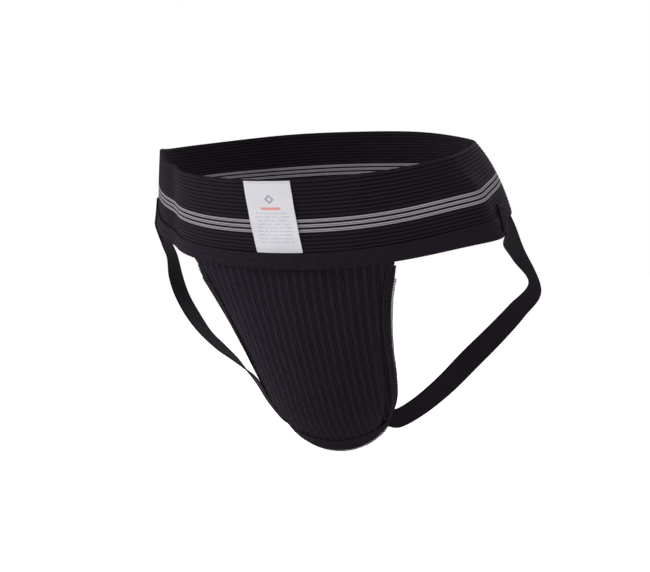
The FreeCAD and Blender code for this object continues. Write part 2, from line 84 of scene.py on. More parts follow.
# folds of the soft ring: angle, how fast each dies away, and how far it goes
LEFT_FOLD = 0.0120
FOLD_ANGLE = 337.3
FOLD_FADE = 6.3
FOLD_ROUND = 6.3
FOLD_AT_RIM = 0.3
FOLD_FULL_SHARE = 0.45
RIGHT_DENT = 0.0059
DENT_ANGLE = 220.0
DENT_FADE = 6.2
CORNER_ANGLE = 199.0
CORNER_FADE_FRONT = 24.0
CORNER_FADE_BACK = 32.0
CREST_ROUND = 3.4
BULGE_ANGLE = 25.0
BULGE_SPAN = 40.0
BULGE_OUT = 0.0029
BULGE_UP = 0.0039
CLOTH_GAP = 0.0003

TAPE_TALL = 0.019
TAPE_THICK = 0.0012
TAPE_RISE = 0.004
TAPE_END_ANGLE = 71.5
TAPE_ROWS = (0.12, 0.50, 0.88)

LABEL_WIDE = 0.0403
LABEL_THICK = 0.00035
LABEL_TOP = 0.0008
LABEL_BOTTOM = 0.0637

POUCH_HALF_WIDTH = 0.0923
POUCH_RUN = 0.1263
POUCH_DROP = 0.1641
POUCH_THICK = 0.0016
POUCH_TOP = -0.15
POUCH_END = 6.0
PANEL_INSET = 0.002
PANEL_SINK = 0.0011
EDGING_WIDE = 0.0085
EDGING_THICK = 0.0006
EDGING_ROWS = (0.12, 5.60)
HEM_ROWS = (5.60, 6.0)
HEM_TALL = 0.010
PICOTS_START = 0.55
PICOT_RADIUS = 0.0015
PICOT_YARN = 0.0010
# half width, run and drop of the leg edges, run and drop of the centre line, roundness
POUCH_TABLE = np.array((
    (1.000, 0.146, -0.056, 0.000, 0.000, 0.93),
    (0.895, 0.270, 0.100, 0.097, 0.144, 0.92),
    (0.823, 0.406, 0.244, 0.208, 0.284, 0.80),
    (0.764, 0.572, 0.400, 0.343, 0.448, 0.70),
    (0.720, 0.747, 0.552, 0.509, 0.631, 0.66),
    (0.661, 0.893, 0.698, 0.715, 0.832, 0.66),
    (0.542, 0.992, 0.832, 1.000, 1.000, 0.74),
))

STRAP_WIDE = 0.025
STRAP_THICK = 0.0013
# the straps lie over the tape, whose ends are tucked under them by this many degrees
TAPE_TUCK = 4.5
STRAP_OVER_TAPE = 0.0001
STRAP_LIFT = CLOTH_GAP + TAPE_THICK + STRAP_OVER_TAPE + STRAP_THICK / 2
# angle from the front, distance down and half turn of the width where a strap is sewn on
STRAP_ROOT = ((74.5, 0.067, 2.2), (80.0, 0.0725, 4.2))
# centre of the strap and direction of its width, from the waistband down to the pouch
STRAP_ROWS = {
    "left": (
        (1.000, 0.226, 0.268, 5.5, 15.0, 14.0),
        (1.006, 0.428, 0.328, 4.9, 22.0, 9.2),
        (1.056, 0.629, 0.437, 6.5, 22.0, -7.5),
        (0.961, 0.608, 0.519, 9.1, 19.5, -11.0),
        (0.848, 0.565, 0.600, 9.5, 18.3, -14.1),
        (0.722, 0.517, 0.683, 9.7, 17.5, -15.4),
        (0.595, 0.465, 0.769, 8.4, 17.7, -14.5),
        (0.469, 0.415, 0.839, 4.1, 18.0, -17.0),
        (0.346, 0.409, 0.885, -1.0, 16.5, -18.7),
    ),
    "right": (
        (1.000, 0.226, 0.268, 5.5, 15.0, 14.0),
        (1.035, 0.408, 0.333, 1.7, 22.0, 3.0),
        (1.069, 0.532, 0.408, -2.0, 22.0, 1.0),
        (1.058, 0.596, 0.479, -3.1, 22.0, 0.0),
        (0.992, 0.606, 0.551, -2.4, 22.0, 1.6),
        (0.898, 0.583, 0.615, -1.3, 22.0, 0.0),
        (0.782, 0.545, 0.666, 1.4, 22.0, 1.3),
        (0.674, 0.502, 0.705, 4.9, 23.0, -0.4),
        (0.585, 0.463, 0.741, 9.8, 23.0, -2.7),
        (0.512, 0.434, 0.775, 8.5, 22.0, -8.4),
        (0.430, 0.400, 0.830, 4.0, 19.0, -14.0),
        (0.346, 0.409, 0.885, -1.0, 16.5, -18.7),
    ),
}
# pouch rows behind which the strap's two edges end, and how far in and how far behind
SEAT_ROWS = (5.30, 6.15)
SEAT_RUN = ((0.003, 0.002), (0.016, 0.0012))
SIDES = (("right", -1), ("left", 1))

CUP_TILT = math.radians(39.0)
CUP_HALF_WIDTH = 0.045
CUP_HALF_LENGTH = 0.064
CUP_FLANGE = 0.004
CUP_DEPTH = 0.034
CUP_ROW = 3.25
CUP_CLEARANCE = 0.0025
CUSHION_WIDE = 0.009
CUSHION_THICK = 0.006


def mix(first, second, share):
    return first + (second - first) * share


def unit(vectors):
    return vectors / np.maximum(np.linalg.norm(vectors, axis=-1, keepdims=True), 1e-12)


def smooth_rows(table, place):
    """Catmull-Rom values of a table of equally spaced rows at places counted in rows."""
    place = np.asarray(place, float)
    last = len(table) - 1
    start = np.clip(np.floor(place).astype(int), 0, last - 1)
    share = (place - start)[..., None]
    p1 = table[start]
    p2 = table[start + 1]
    p0 = np.where((start == 0)[..., None], 2 * p1 - p2, table[np.maximum(start - 1, 0)])
    p3 = np.where((start == last - 1)[..., None], 2 * p2 - p1, table[np.minimum(start + 2, last)])
    curve = 2 * p1 + (p2 - p0) * share + (2 * p0 - 5 * p1 + 4 * p2 - p3) * share ** 2
    return (curve + (3 * p1 - p0 - 3 * p2 + p3) * share ** 3) / 2


def from_angle(angle, centre):
    """Signed difference between angles, in degrees, -180 to 180."""
    return (angle - centre + 180.0) % 360.0 - 180.0


def crest(away, fade, rounding=CREST_ROUND):
    """1 at a fold's line, dying away on both sides of it."""
    return np.exp(-(np.hypot(away, rounding) - rounding) / fade)


def band_points(angle, down):
    """Outside of the waistband by angle round the waist and distance below the rim."""
    turn = np.radians(angle)
    sine = np.sin(turn)
    cosine = np.cos(turn)
    share = down / HEM_LINE
    bow = 4 * share * (1 - share)
    half_width = mix(RIM_HALF_WIDTH, HEM_HALF_WIDTH, share) + BOW_SIDE * bow
    front = mix(RIM_HALF_DEPTH, HEM_FRONT_DEPTH, share) + BOW_FRONT * bow
    back = mix(RIM_HALF_DEPTH, HEM_BACK_DEPTH, share) + BOW_BACK * bow
    backward = (1 + sine) / 2
    sideways = cosine ** 2
    left_lift = np.where(cosine > 0, CORNER_LIFT_LEFT, 0.0)
    past_corner = from_angle(angle, CORNER_ANGLE)
    corner_fade = np.where(past_corner > 0, CORNER_FADE_FRONT, CORNER_FADE_BACK)
    rim_height = mix(-RIM_FRONT_DIP, RIM_FRONT_DIP, backward)
    rim_height = rim_height + left_lift * sideways ** np.where(sine < 0, 1.5, 6.0)
    rim_height = rim_height + CORNER_LIFT_RIGHT * crest(past_corner, corner_fade)
    deepening = np.clip(share / FOLD_FULL_SHARE, 0.0, 1.0)
    deepening = mix(FOLD_AT_RIM, 1.0, deepening ** 2 * (3 - 2 * deepening))
    pushed = LEFT_FOLD * deepening * crest(from_angle(angle, FOLD_ANGLE), FOLD_FADE, FOLD_ROUND)
    pushed = pushed - RIGHT_DENT * crest(from_angle(angle, DENT_ANGLE), DENT_FADE)
    bulge = bow * np.exp(-(from_angle(angle, BULGE_ANGLE) / BULGE_SPAN) ** 2)
    pushed = pushed + BULGE_OUT * bulge
    lean = mix(LEAN_FRONT, LEAN_BACK, backward) - LEAN_SIDE_LOSS * sideways
    across = (half_width + pushed) * cosine
    along = (back - front) / 2 + ((back + front) / 2 + pushed) * sine
    return np.stack([across, along, rim_height - lean * down + BULGE_UP * bulge], axis=-1)


def band_normals(angle, down):
    round_it = band_points(angle + 0.2, down) - band_points(angle - 0.2, down)
    below = band_points(angle, down + 0.0002) - band_points(angle, down - 0.0002)
    return unit(np.cross(below, round_it))


def band_at(angle, down, lift):
    """Places lifted off the outside of the waistband."""
    return band_points(angle, down) + band_normals(angle, down) * np.asarray(lift)[..., None]


HEM_CENTRE = band_points(np.array(FRONT), np.array(HEM_LINE))
WHOLE_DROP = POUCH_DROP - HEM_CENTRE[2]


def pouch_points(row, side):
    """Outside of the pouch by row counted down from the tape and side, -90 to 90."""
    values = smooth_rows(POUCH_TABLE, row)
    swing = np.radians(side)
    centred = np.maximum(np.cos(swing), 0.0) ** (2 * values[..., 5])
    along = mix(values[..., 1], values[..., 3], centred) * POUCH_RUN
    down = mix(values[..., 2], values[..., 4], centred) * POUCH_DROP
    across = values[..., 0] * POUCH_HALF_WIDTH * np.sin(swing)
    return np.stack([across, HEM_CENTRE[1] + along, HEM_CENTRE[2] - down], axis=-1)


def pouch_normals(row, side):
    side = np.clip(side, -86.0, 86.0)
    down_it = pouch_points(row + 0.02, side) - pouch_points(row - 0.02, side)
    across = pouch_points(row, side + 0.5) - pouch_points(row, side - 0.5)
    return unit(np.cross(down_it, across))


def pouch_at(row, side, lift):
    """Places lifted off the outside of the pouch."""
    return pouch_points(row, side) + pouch_normals(row, side) * np.asarray(lift)[..., None]


ARC_SIDES = np.linspace(-90.0, 90.0, 181)


def pouch_arc(row):
    """Distance across the pouch from its centre line, at every one of ARC_SIDES."""
    points = pouch_points(np.full_like(ARC_SIDES, row), ARC_SIDES)
    steps = np.linalg.norm(np.diff(points, axis=0), axis=1)
    travelled = np.concatenate([[0.0], np.cumsum(steps)])
    return travelled - travelled[-1] / 2


def pouch_side(row, from_edge):
    """Side of the place that lies a distance in from the +X leg edge."""
    arc = pouch_arc(row)
    return float(np.interp(arc[-1] - from_edge, arc, ARC_SIDES))


def travelled_along(points):
    """Running distance along a line of points."""
    steps = np.linalg.norm(np.diff(points, axis=0), axis=1)
    return np.concatenate([[0.0], np.cumsum(steps)])


def rounded_edge(distance, radius):
    """1 inside a sheet, falling to 0.3 at its very edge, so that the edge is round."""
    share = np.clip(distance / radius, 0.0, 1.0)
    return 0.3 + 0.7 * np.sqrt(1 - (1 - share) ** 2)


def ridge_of(rib, sharpness):
    """Height of a ribbed surface, 0 in the grooves and 1 on the ridges."""
    return np.abs(np.sin(np.pi * rib)) ** sharpness


# ---------------------------------------------------------------- meshes


def make_piece(name, points, faces, material, smooth_limit=50.0):
    mesh = bpy.data.meshes.new(name)
    mesh.from_pydata(points, [], faces)
    mesh.shade_smooth()
    mesh.set_sharp_from_angle(angle=math.radians(smooth_limit))
    mesh.materials.append(material)
    piece = bpy.data.objects.new(name, mesh)
    bpy.context.scene.collection.objects.link(piece)
    return piece


def cloth_piece(name, face, back, across, along, rib, material, ring=False):
    """Closed sheet of cloth between two grids of points, columns by rows.

    across and along are its own flat coordinates in metres, and rib counts its ribs."""
    columns, rows = face.shape[:2]
    layer_size = columns * rows
    spans = columns if ring else columns - 1
    column, row = np.meshgrid(np.arange(spans), np.arange(rows - 1), indexing="ij")
    column = column.ravel()
    row = row.ravel()
    quads = []
    for layer in (0, 1):
        corners = [(layer, column, row), (layer, column + 1, row),
                   (layer, column + 1, row + 1), (layer, column, row + 1)]
        quads.append(corners if layer == 0 else corners[::-1])
    edge = np.arange(spans)
    for line, turned in ((0, False), (rows - 1, True)):
        level = np.full_like(edge, line)
        corners = [(0, edge, level), (1, edge, level), (1, edge + 1, level), (0, edge + 1, level)]
        quads.append(corners[::-1] if turned else corners)
    if not ring:
        edge = np.arange(rows - 1)
        for line, turned in ((0, True), (columns - 1, False)):
            level = np.full_like(edge, line)
            corners = [(0, level, edge), (1, level, edge),
                       (1, level, edge + 1), (0, level, edge + 1)]
            quads.append(corners[::-1] if turned else corners)
    numbers = []
    places = []
    for corners in quads:
        numbers.append(np.stack([layer * layer_size + (c % columns) * rows + r
                                 for layer, c, r in corners], axis=1))
        places.append(np.stack([np.stack([across[c, r], along[c, r]], axis=-1)
                                for layer, c, r in corners], axis=1))
    numbers = np.concatenate(numbers)
    places = np.concatenate(places)
    c, r = columns // 2, rows // 2
    turn = np.cross(face[c + 1, r] - face[c, r], face[c, r + 1] - face[c, r])
    if turn @ (face[c, r] - back[c, r]) < 0:
        numbers = numbers[:, ::-1]
        places = places[:, ::-1]
    points = np.concatenate([face.reshape(-1, 3), back.reshape(-1, 3)])
    piece = make_piece(name, points.tolist(), numbers.tolist(), material)
    flat_map = piece.data.uv_layers.new(name="cloth")
    flat_map.data.foreach_set("uv", places.astype(np.float32).ravel())
    count = piece.data.attributes.new("rib", "FLOAT", "POINT")
    count.data.foreach_set("value", np.tile(rib.ravel(), 2).astype(np.float32))
    return piece


def path_piece(name, runs, outward=None):
    """Loose lines of points for stitches to follow, with the way out from the cloth."""
    points = []
    edges = []
    for run in runs:
        first = len(points)
        points.extend(np.asarray(run).tolist())
        edges.extend((first + step, first + step + 1) for step in range(len(run) - 1))
    mesh = bpy.data.meshes.new(name)
    mesh.from_pydata(points, edges, [])
    if outward is not None:
        arrows = mesh.attributes.new("outward", "FLOAT_VECTOR", "POINT")
        arrows.data.foreach_set("vector", np.concatenate(outward).astype(np.float32).ravel())
    piece = bpy.data.objects.new(name, mesh)
    bpy.context.scene.collection.objects.link(piece)
    return piece


# ---------------------------------------------------------------- geometry node trees


def new_tree(name, floats):
    """Geometry tree with a path input, named sizes, a seed and a thread material."""
    tree = bpy.data.node_groups.new(name, "GeometryNodeTree")
    sockets = tree.interface
    sockets.new_socket("Path", in_out="INPUT", socket_type="NodeSocketGeometry")
    for label in floats:
        sockets.new_socket(label, in_out="INPUT", socket_type="NodeSocketFloat")
    sockets.new_socket("Seed", in_out="INPUT", socket_type="NodeSocketInt")
    sockets.new_socket("Thread", in_out="INPUT", socket_type="NodeSocketMaterial")
    sockets.new_socket("Stitches", in_out="OUTPUT", socket_type="NodeSocketGeometry")
    return tree


def add_node(tree, kind, inputs=None, **settings):
    """New node with its settings, whose inputs are values or other nodes' outputs."""
    node = tree.nodes.new(kind)
    for label, value in settings.items():
        setattr(node, label, value)
    for label, value in (inputs or {}).items():
        if isinstance(value, bpy.types.NodeSocket):
            tree.links.new(value, node.inputs[label])
        else:
            node.inputs[label].default_value = value
    return node


def finish_tree(tree, given, stations, shape, rotation):
    """Instances of one shape along the path, slightly uneven, made real and coloured."""
    spread = add_node(tree, "FunctionNodeRandomValue", {"Seed": given.outputs["Seed"]},
                      data_type="FLOAT_VECTOR")
    spread.inputs[0].default_value = (0.88, 0.88, 0.88)
    spread.inputs[1].default_value = (1.08, 1.08, 1.08)
    copies = add_node(tree, "GeometryNodeInstanceOnPoints",
                      {"Points": stations, "Instance": shape, "Rotation": rotation,
                       "Scale": spread.outputs[0]})
    real = add_node(tree, "GeometryNodeRealizeInstances", {"Geometry": copies.outputs[0]})
    smooth = add_node(tree, "GeometryNodeSetShadeSmooth", {"Geometry": real.outputs[0]})
    coloured = add_node(tree, "GeometryNodeSetMaterial",
                        {"Geometry": smooth.outputs[0], "Material": given.outputs["Thread"]})
    out = tree.nodes.new("NodeGroupOutput")
    tree.links.new(coloured.outputs[0], out.inputs["Stitches"])


def stations_along(tree, given):
    line = add_node(tree, "GeometryNodeMeshToCurve", {"Mesh": given.outputs["Path"]})
    return add_node(tree, "GeometryNodeResampleCurve",
                    {"Curve": line.outputs[0], "Length": given.outputs["Spacing"]}, mode="LENGTH")


def stitch_tree():
    """Straight stitches, each a small bean of thread lying along the path."""
    found = bpy.data.node_groups.get("straight_stitches")
    if found:
        return found
    tree = new_tree("straight_stitches", ("Spacing", "Length", "Thickness"))
    given = tree.nodes.new("NodeGroupInput")
    stations = stations_along(tree, given)
    bean = add_node(tree, "GeometryNodeMeshUVSphere", {"Segments": 7, "Rings": 5, "Radius": 0.5})
    bean_size = add_node(tree, "ShaderNodeCombineXYZ", {
        "X": given.outputs["Length"], "Y": given.outputs["Thickness"],
        "Z": given.outputs["Thickness"]})
    shape = add_node(tree, "GeometryNodeTransform",
                     {"Geometry": bean.outputs[0], "Scale": bean_size.outputs[0]})
    tangent = tree.nodes.new("GeometryNodeInputTangent")
    turned = add_node(tree, "FunctionNodeAlignRotationToVector",
                      {"Vector": tangent.outputs[0]}, axis="X")
    finish_tree(tree, given, stations.outputs[0], shape.outputs[0], turned.outputs[0])
    return tree


def picot_tree():
    """Small loops of yarn standing out from an elastic edge."""
    found = bpy.data.node_groups.get("picot_loops")
    if found:
        return found
    tree = new_tree("picot_loops", ("Spacing", "Loop radius", "Yarn thickness"))
    given = tree.nodes.new("NodeGroupInput")
    stations = stations_along(tree, given)
    loop = add_node(tree, "GeometryNodeCurveArc",
                    {"Resolution": 7, "Radius": given.outputs["Loop radius"],
                     "Start Angle": math.radians(-25.0), "Sweep Angle": math.radians(230.0)})
    half = add_node(tree, "ShaderNodeMath", operation="MULTIPLY")
    tree.links.new(given.outputs["Yarn thickness"], half.inputs[0])
    half.inputs[1].default_value = 0.5
    ring = add_node(tree, "GeometryNodeCurvePrimitiveCircle",
                    {"Resolution": 5, "Radius": half.outputs[0]})
    yarn = add_node(tree, "GeometryNodeCurveToMesh",
                    {"Curve": loop.outputs[0], "Profile Curve": ring.outputs[0],
                     "Fill Caps": True})
    tangent = tree.nodes.new("GeometryNodeInputTangent")
    outward = add_node(tree, "GeometryNodeInputNamedAttribute", {"Name": "outward"},
                       data_type="FLOAT_VECTOR")
    turned = add_node(tree, "FunctionNodeAxesToRotation",
                      {"Primary Axis": outward.outputs[0], "Secondary Axis": tangent.outputs[0]},
                      primary_axis="Y", secondary_axis="X")
    finish_tree(tree, given, stations.outputs[0], yarn.outputs[0], turned.outputs[0])
    return tree


def grow_along(path, tree, values, name):
    """Plain mesh of what a tree makes along a path; the path itself is removed."""
    modifier = path.modifiers.new("growth", "NODES")
    modifier.node_group = tree
    for item in tree.interface.items_tree:
        if item.item_type == "SOCKET" and item.in_out == "INPUT" and item.name in values:
            modifier[item.identifier] = values[item.name]
    graph = bpy.context.evaluated_depsgraph_get()
    mesh = bpy.data.meshes.new_from_object(path.evaluated_get(graph))
    mesh.name = name
    if not mesh.polygons:
        raise RuntimeError("no stitches were made for " + name)
    spare = path.data
    bpy.data.objects.remove(path)
    bpy.data.meshes.remove(spare)
    piece = bpy.data.objects.new(name, mesh)
    bpy.context.scene.collection.objects.link(piece)
    return piece


def sew(name, runs, spacing, length, thickness, thread, seed):
    """Straight stitches along lines of points, as one plain piece."""
    path = path_piece(name + "_path", runs)
    return grow_along(path, stitch_tree(), {
        "Spacing": spacing, "Length": length, "Thickness": thickness, "Seed": seed,
        "Thread": thread}, name)


def place(piece, body, slot, *nodes):
    """Put a finished piece in the frame in the place of its CAD nodes."""
    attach(piece, body)
    if nodes:
        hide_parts(*nodes)
    return piece


# ---------------------------------------------------------------- shader groups


def calculate(tree, operation, *values):
    """Output of a Math node fed by values or other outputs."""
    node = tree.nodes.new("ShaderNodeMath")
    node.operation = operation
    for socket, value in zip(node.inputs, values):
        if isinstance(value, bpy.types.NodeSocket):
            tree.links.new(value, socket)
        else:
            socket.default_value = value
    return node.outputs[0]


def blend_colours(tree, share, first, second, how="MIX"):
    """Output of a Mix node for colours; first and second are colours or outputs."""
    node = tree.nodes.new("ShaderNodeMix")
    node.data_type = "RGBA"
    node.blend_type = how
    for number, value in ((0, share), (6, first), (7, second)):
        if isinstance(value, bpy.types.NodeSocket):
            tree.links.new(value, node.inputs[number])
        elif number == 0:
            node.inputs[number].default_value = value
        else:
            node.inputs[number].default_value = (*value[:3], 1.0)
    return node.outputs[2]


def new_group(name, inputs, outputs):
    tree = bpy.data.node_groups.new(name, "ShaderNodeTree")
    for label, kind in inputs:
        tree.interface.new_socket(label, in_out="INPUT", socket_type=kind)
    for label, kind in outputs:
        tree.interface.new_socket(label, in_out="OUTPUT", socket_type=kind)
    return tree, tree.nodes.new("NodeGroupInput"), tree.nodes.new("NodeGroupOutput")


KNIT_SHARPNESS = 11.0


def yarn_group():
    """Crossing yarns of a knit or weave from the cloth's own flat coordinates."""
    found = bpy.data.node_groups.get("yarn_crossings")
    if found:
        return found
    number = "NodeSocketFloat"
    tree, given, out = new_group(
        "yarn_crossings",
        (("Cloth", "NodeSocketVector"), ("Wale pitch", number), ("Course pitch", number),
         ("Unevenness", number)),
        (("Height", number), ("Yarn shade and fluff", number)))
    drift = add_node(tree, "ShaderNodeTexNoise",
                     {"Vector": given.outputs["Cloth"], "Scale": 60.0, "Detail": 2.0})
    shake = calculate(tree, "MULTIPLY", calculate(tree, "SUBTRACT", drift.outputs[0], 0.5),
                      given.outputs["Unevenness"])
    flat = add_node(tree, "ShaderNodeSeparateXYZ", {"Vector": given.outputs["Cloth"]})
    wale = calculate(tree, "ADD", calculate(tree, "DIVIDE", flat.outputs[0],
                                            given.outputs["Wale pitch"]), shake)
    course = calculate(tree, "ADD", calculate(tree, "DIVIDE", flat.outputs[1],
                                              given.outputs["Course pitch"]), shake)
    half_turn = calculate(tree, "MULTIPLY", calculate(tree, "FLOOR", wale), 0.5)
    course = calculate(tree, "ADD", course, half_turn)
    column = calculate(tree, "ABSOLUTE", calculate(tree, "SINE",
                                                   calculate(tree, "MULTIPLY", wale, math.pi)))
    beads = calculate(tree, "ABSOLUTE", calculate(tree, "SINE",
                                                  calculate(tree, "MULTIPLY", course, math.pi)))
    height = calculate(tree, "MULTIPLY", calculate(tree, "POWER", column, 0.7),
                       calculate(tree, "ADD", 0.45, calculate(tree, "MULTIPLY", beads, 0.55)))
    fluff = add_node(tree, "ShaderNodeTexNoise",
                     {"Vector": given.outputs["Cloth"], "Scale": 1400.0, "Detail": 2.0})
    height = calculate(tree, "ADD", height, calculate(tree, "MULTIPLY", fluff.outputs[0], 0.25))
    tree.links.new(height, out.inputs["Height"])
    # painted shade: the yarns' height again as a colour share, darker in the gaps between yarns,
    # with the fluff noise as a random tone
    tree.links.new(calculate(tree, "MULTIPLY", height, 0.8), out.inputs["Yarn shade and fluff"])
    return tree


def handling_group():
    """Lint specks and slow fading of a garment that has been handled."""
    found = bpy.data.node_groups.get("lint_and_fading")
    if found:
        return found
    number = "NodeSocketFloat"
    tree, given, out = new_group(
        "lint_and_fading", (("Place", "NodeSocketVector"), ("Speck size", number)),
        (("Lint", number), ("Fading", number)))
    cells = add_node(tree, "ShaderNodeTexVoronoi", {"Vector": given.outputs["Place"]})
    tree.links.new(calculate(tree, "DIVIDE", 1.0, given.outputs["Speck size"]),
                   cells.inputs["Scale"])
    near = calculate(tree, "LESS_THAN", cells.outputs["Distance"], 0.10)
    pick = add_node(tree, "ShaderNodeSeparateColor", {"Color": cells.outputs["Color"]})
    few = calculate(tree, "GREATER_THAN", pick.outputs[0], 0.82)
    clouds = add_node(tree, "ShaderNodeTexNoise",
                      {"Vector": given.outputs["Place"], "Scale": 22.0, "Detail": 3.0})
    tree.links.new(calculate(tree, "MULTIPLY", near, few), out.inputs["Lint"])
    tree.links.new(clouds.outputs[0], out.inputs["Fading"])
    return tree


# ---------------------------------------------------------------- materials


# slubs per metre across and along a cloth
SLUB_SCALE = (420.0, 150.0, 1.0)


def made_material(name):
    """A finish that is already there, apart from the frame's own plain materials."""
    return bpy.data.materials.get(name + "_finish")


def new_material(name):
    material = bpy.data.materials.new(name + "_finish")
    material.use_nodes = True
    tree = material.node_tree
    shader = tree.nodes["Principled BSDF"]
    return material, tree, shader


def cloth_material(name, painted_groove_shade, ridge, wale, course, sharpness=0.7, bump=0.00035,
                   floor=0.0, sheen=0.045, roughness=0.85, decorate=None):
    """Ribbed, knitted or woven cloth with painted shade: its grooves are painted a floor share as
    light as its ridges, and the gaps between its yarns are painted darker too.

    decorate may repaint the colour from the cloth's flat map."""
    found = made_material(name)
    if found:
        return found
    material, tree, shader = new_material(name)
    flat = add_node(tree, "ShaderNodeUVMap", uv_map="cloth")
    rib = add_node(tree, "ShaderNodeAttribute", attribute_name="rib")
    wave = calculate(tree, "ABSOLUTE", calculate(tree, "SINE",
                                                 calculate(tree, "MULTIPLY", rib.outputs["Fac"],
                                                           math.pi)))
    crest = calculate(tree, "POWER", wave, sharpness)
    yarn = add_node(tree, "ShaderNodeGroup", node_tree=yarn_group())
    tree.links.new(flat.outputs[0], yarn.inputs["Cloth"])
    yarn.inputs["Wale pitch"].default_value = wale
    yarn.inputs["Course pitch"].default_value = course
    yarn.inputs["Unevenness"].default_value = 0.35
    places = tree.nodes.new("ShaderNodeTexCoord")
    handling = add_node(tree, "ShaderNodeGroup", node_tree=handling_group())
    tree.links.new(places.outputs["Object"], handling.inputs["Place"])
    handling.inputs["Speck size"].default_value = 0.006
    # painted shade: the rib grooves lean towards the near-black groove colour, the ridges keep the
    # cloth colour
    raised = calculate(tree, "ADD", floor, calculate(tree, "MULTIPLY", crest, 1 - floor))
    tone = calculate(tree, "MULTIPLY", raised,
                     calculate(tree, "ADD", 0.20, calculate(tree, "MULTIPLY",
                                                            yarn.outputs["Yarn shade and fluff"], 1.0)))
    slubs = add_node(tree, "ShaderNodeTexNoise", {"Scale": 1.0, "Detail": 3.0})
    drawn_out = add_node(tree, "ShaderNodeMapping", {"Vector": flat.outputs[0],
                                                     "Scale": SLUB_SCALE})
    tree.links.new(drawn_out.outputs[0], slubs.inputs["Vector"])
    tone = calculate(tree, "MULTIPLY", tone,
                     calculate(tree, "ADD", 0.60, calculate(tree, "MULTIPLY",
                                                            slubs.outputs[0], 0.80)))
    colour = blend_colours(tree, tone, painted_groove_shade, ridge)
    if decorate:
        colour = decorate(tree, flat.outputs[0], crest, colour)
    faded = calculate(tree, "ADD", 0.82, calculate(tree, "MULTIPLY",
                                                   handling.outputs["Fading"], 0.36))
    shade = add_node(tree, "ShaderNodeCombineColor",
                     {"Red": faded, "Green": faded, "Blue": faded})
    colour = blend_colours(tree, 1.0, colour, shade.outputs[0], "MULTIPLY")
    lint = calculate(tree, "MULTIPLY", handling.outputs["Lint"], 0.025)
    colour = blend_colours(tree, lint, colour, (0.45, 0.43, 0.46))
    height = calculate(tree, "MULTIPLY", yarn.outputs["Height"], bump)
    relief = add_node(tree, "ShaderNodeBump", {"Height": height, "Distance": 1.0,
                                               "Strength": 1.0})
    tree.links.new(colour, shader.inputs["Base Color"])
    tree.links.new(relief.outputs[0], shader.inputs["Normal"])
    shader.inputs["Roughness"].default_value = roughness
    shader.inputs["Specular IOR Level"].default_value = 0.12
    shader.inputs["Sheen Weight"].default_value = sheen
    shader.inputs["Sheen Roughness"].default_value = 0.45
    shader.inputs["Sheen Tint"].default_value = (0.86, 0.66, 1.0, 1.0)
    return material


def colours():
    return bpy.context.scene.supporter_colours


def sizes():
    return bpy.context.scene.supporter_sizes


# half the height of the dark line between the two cords of a stripe
STRIPE_PARTING = 0.00032


def band_stripes(tree, flat, crest, colour):
    """Three light stripes below the middle of the waistband, each of two light cords."""
    down = add_node(tree, "ShaderNodeSeparateXYZ", {"Vector": flat}).outputs[1]
    mask = 0.0
    for centre in stripe_centres():
        light = calculate(tree, "COMPARE", down, centre, sizes().stripe_tall / 2)
        between = calculate(tree, "COMPARE", down, centre, STRIPE_PARTING)
        parted = calculate(tree, "MULTIPLY", between, 0.75)
        mask = calculate(tree, "ADD", mask, calculate(tree, "SUBTRACT", light, parted))
    # painted shade: the stripes are painted darker in the rib grooves, down to 0.45 of their colour
    shaded = calculate(tree, "MULTIPLY", mask,
                       calculate(tree, "ADD", 0.45, calculate(tree, "MULTIPLY", crest, 0.55)))
    return blend_colours(tree, shaded, colour, colours().stripe)


def ribbed_elastic():
    return cloth_material("ribbed_elastic", colours().painted_groove_shade, colours().cloth, 0.0011, 0.0017,
                          sharpness=1.6, bump=0.00022, decorate=band_stripes)


def plain_elastic():
    return cloth_material("plain_elastic", colours().painted_groove_shade, colours().cloth, 0.0010, 0.0010,
                          sharpness=0.5, bump=0.0002)


# the tape's plain elastic with its ridge colour painted down to 0.55: painted shade darkening the
# straps
def strap_elastic_shaded():
    return cloth_material("strap_elastic_shaded", colours().painted_groove_shade,
                          [0.55 * part for part in colours().cloth], 0.0010, 0.0010,
                          sharpness=0.5, bump=0.0002, sheen=0.03)


def rib_knit():
    return cloth_material("rib_knit", colours().painted_groove_shade, colours().knit, 0.0025, 0.0026,
                          sharpness=KNIT_SHARPNESS, bump=0.0008, floor=0.36)


def picot_elastic():
    return cloth_material("picot_elastic", colours().painted_groove_shade, colours().edging, 0.0012, 0.0014,
                          sharpness=0.6, bump=0.0003)


# printed lines of the care label: how many, the first one's place and the step to the next
PRINT_LINES = 9
PRINT_FIRST = 0.0285
PRINT_STEP = 0.0032
LOZENGE_DOWN = 0.0165
LOZENGE_OUTSIDE = 0.0042
LOZENGE_INSIDE = 0.0022


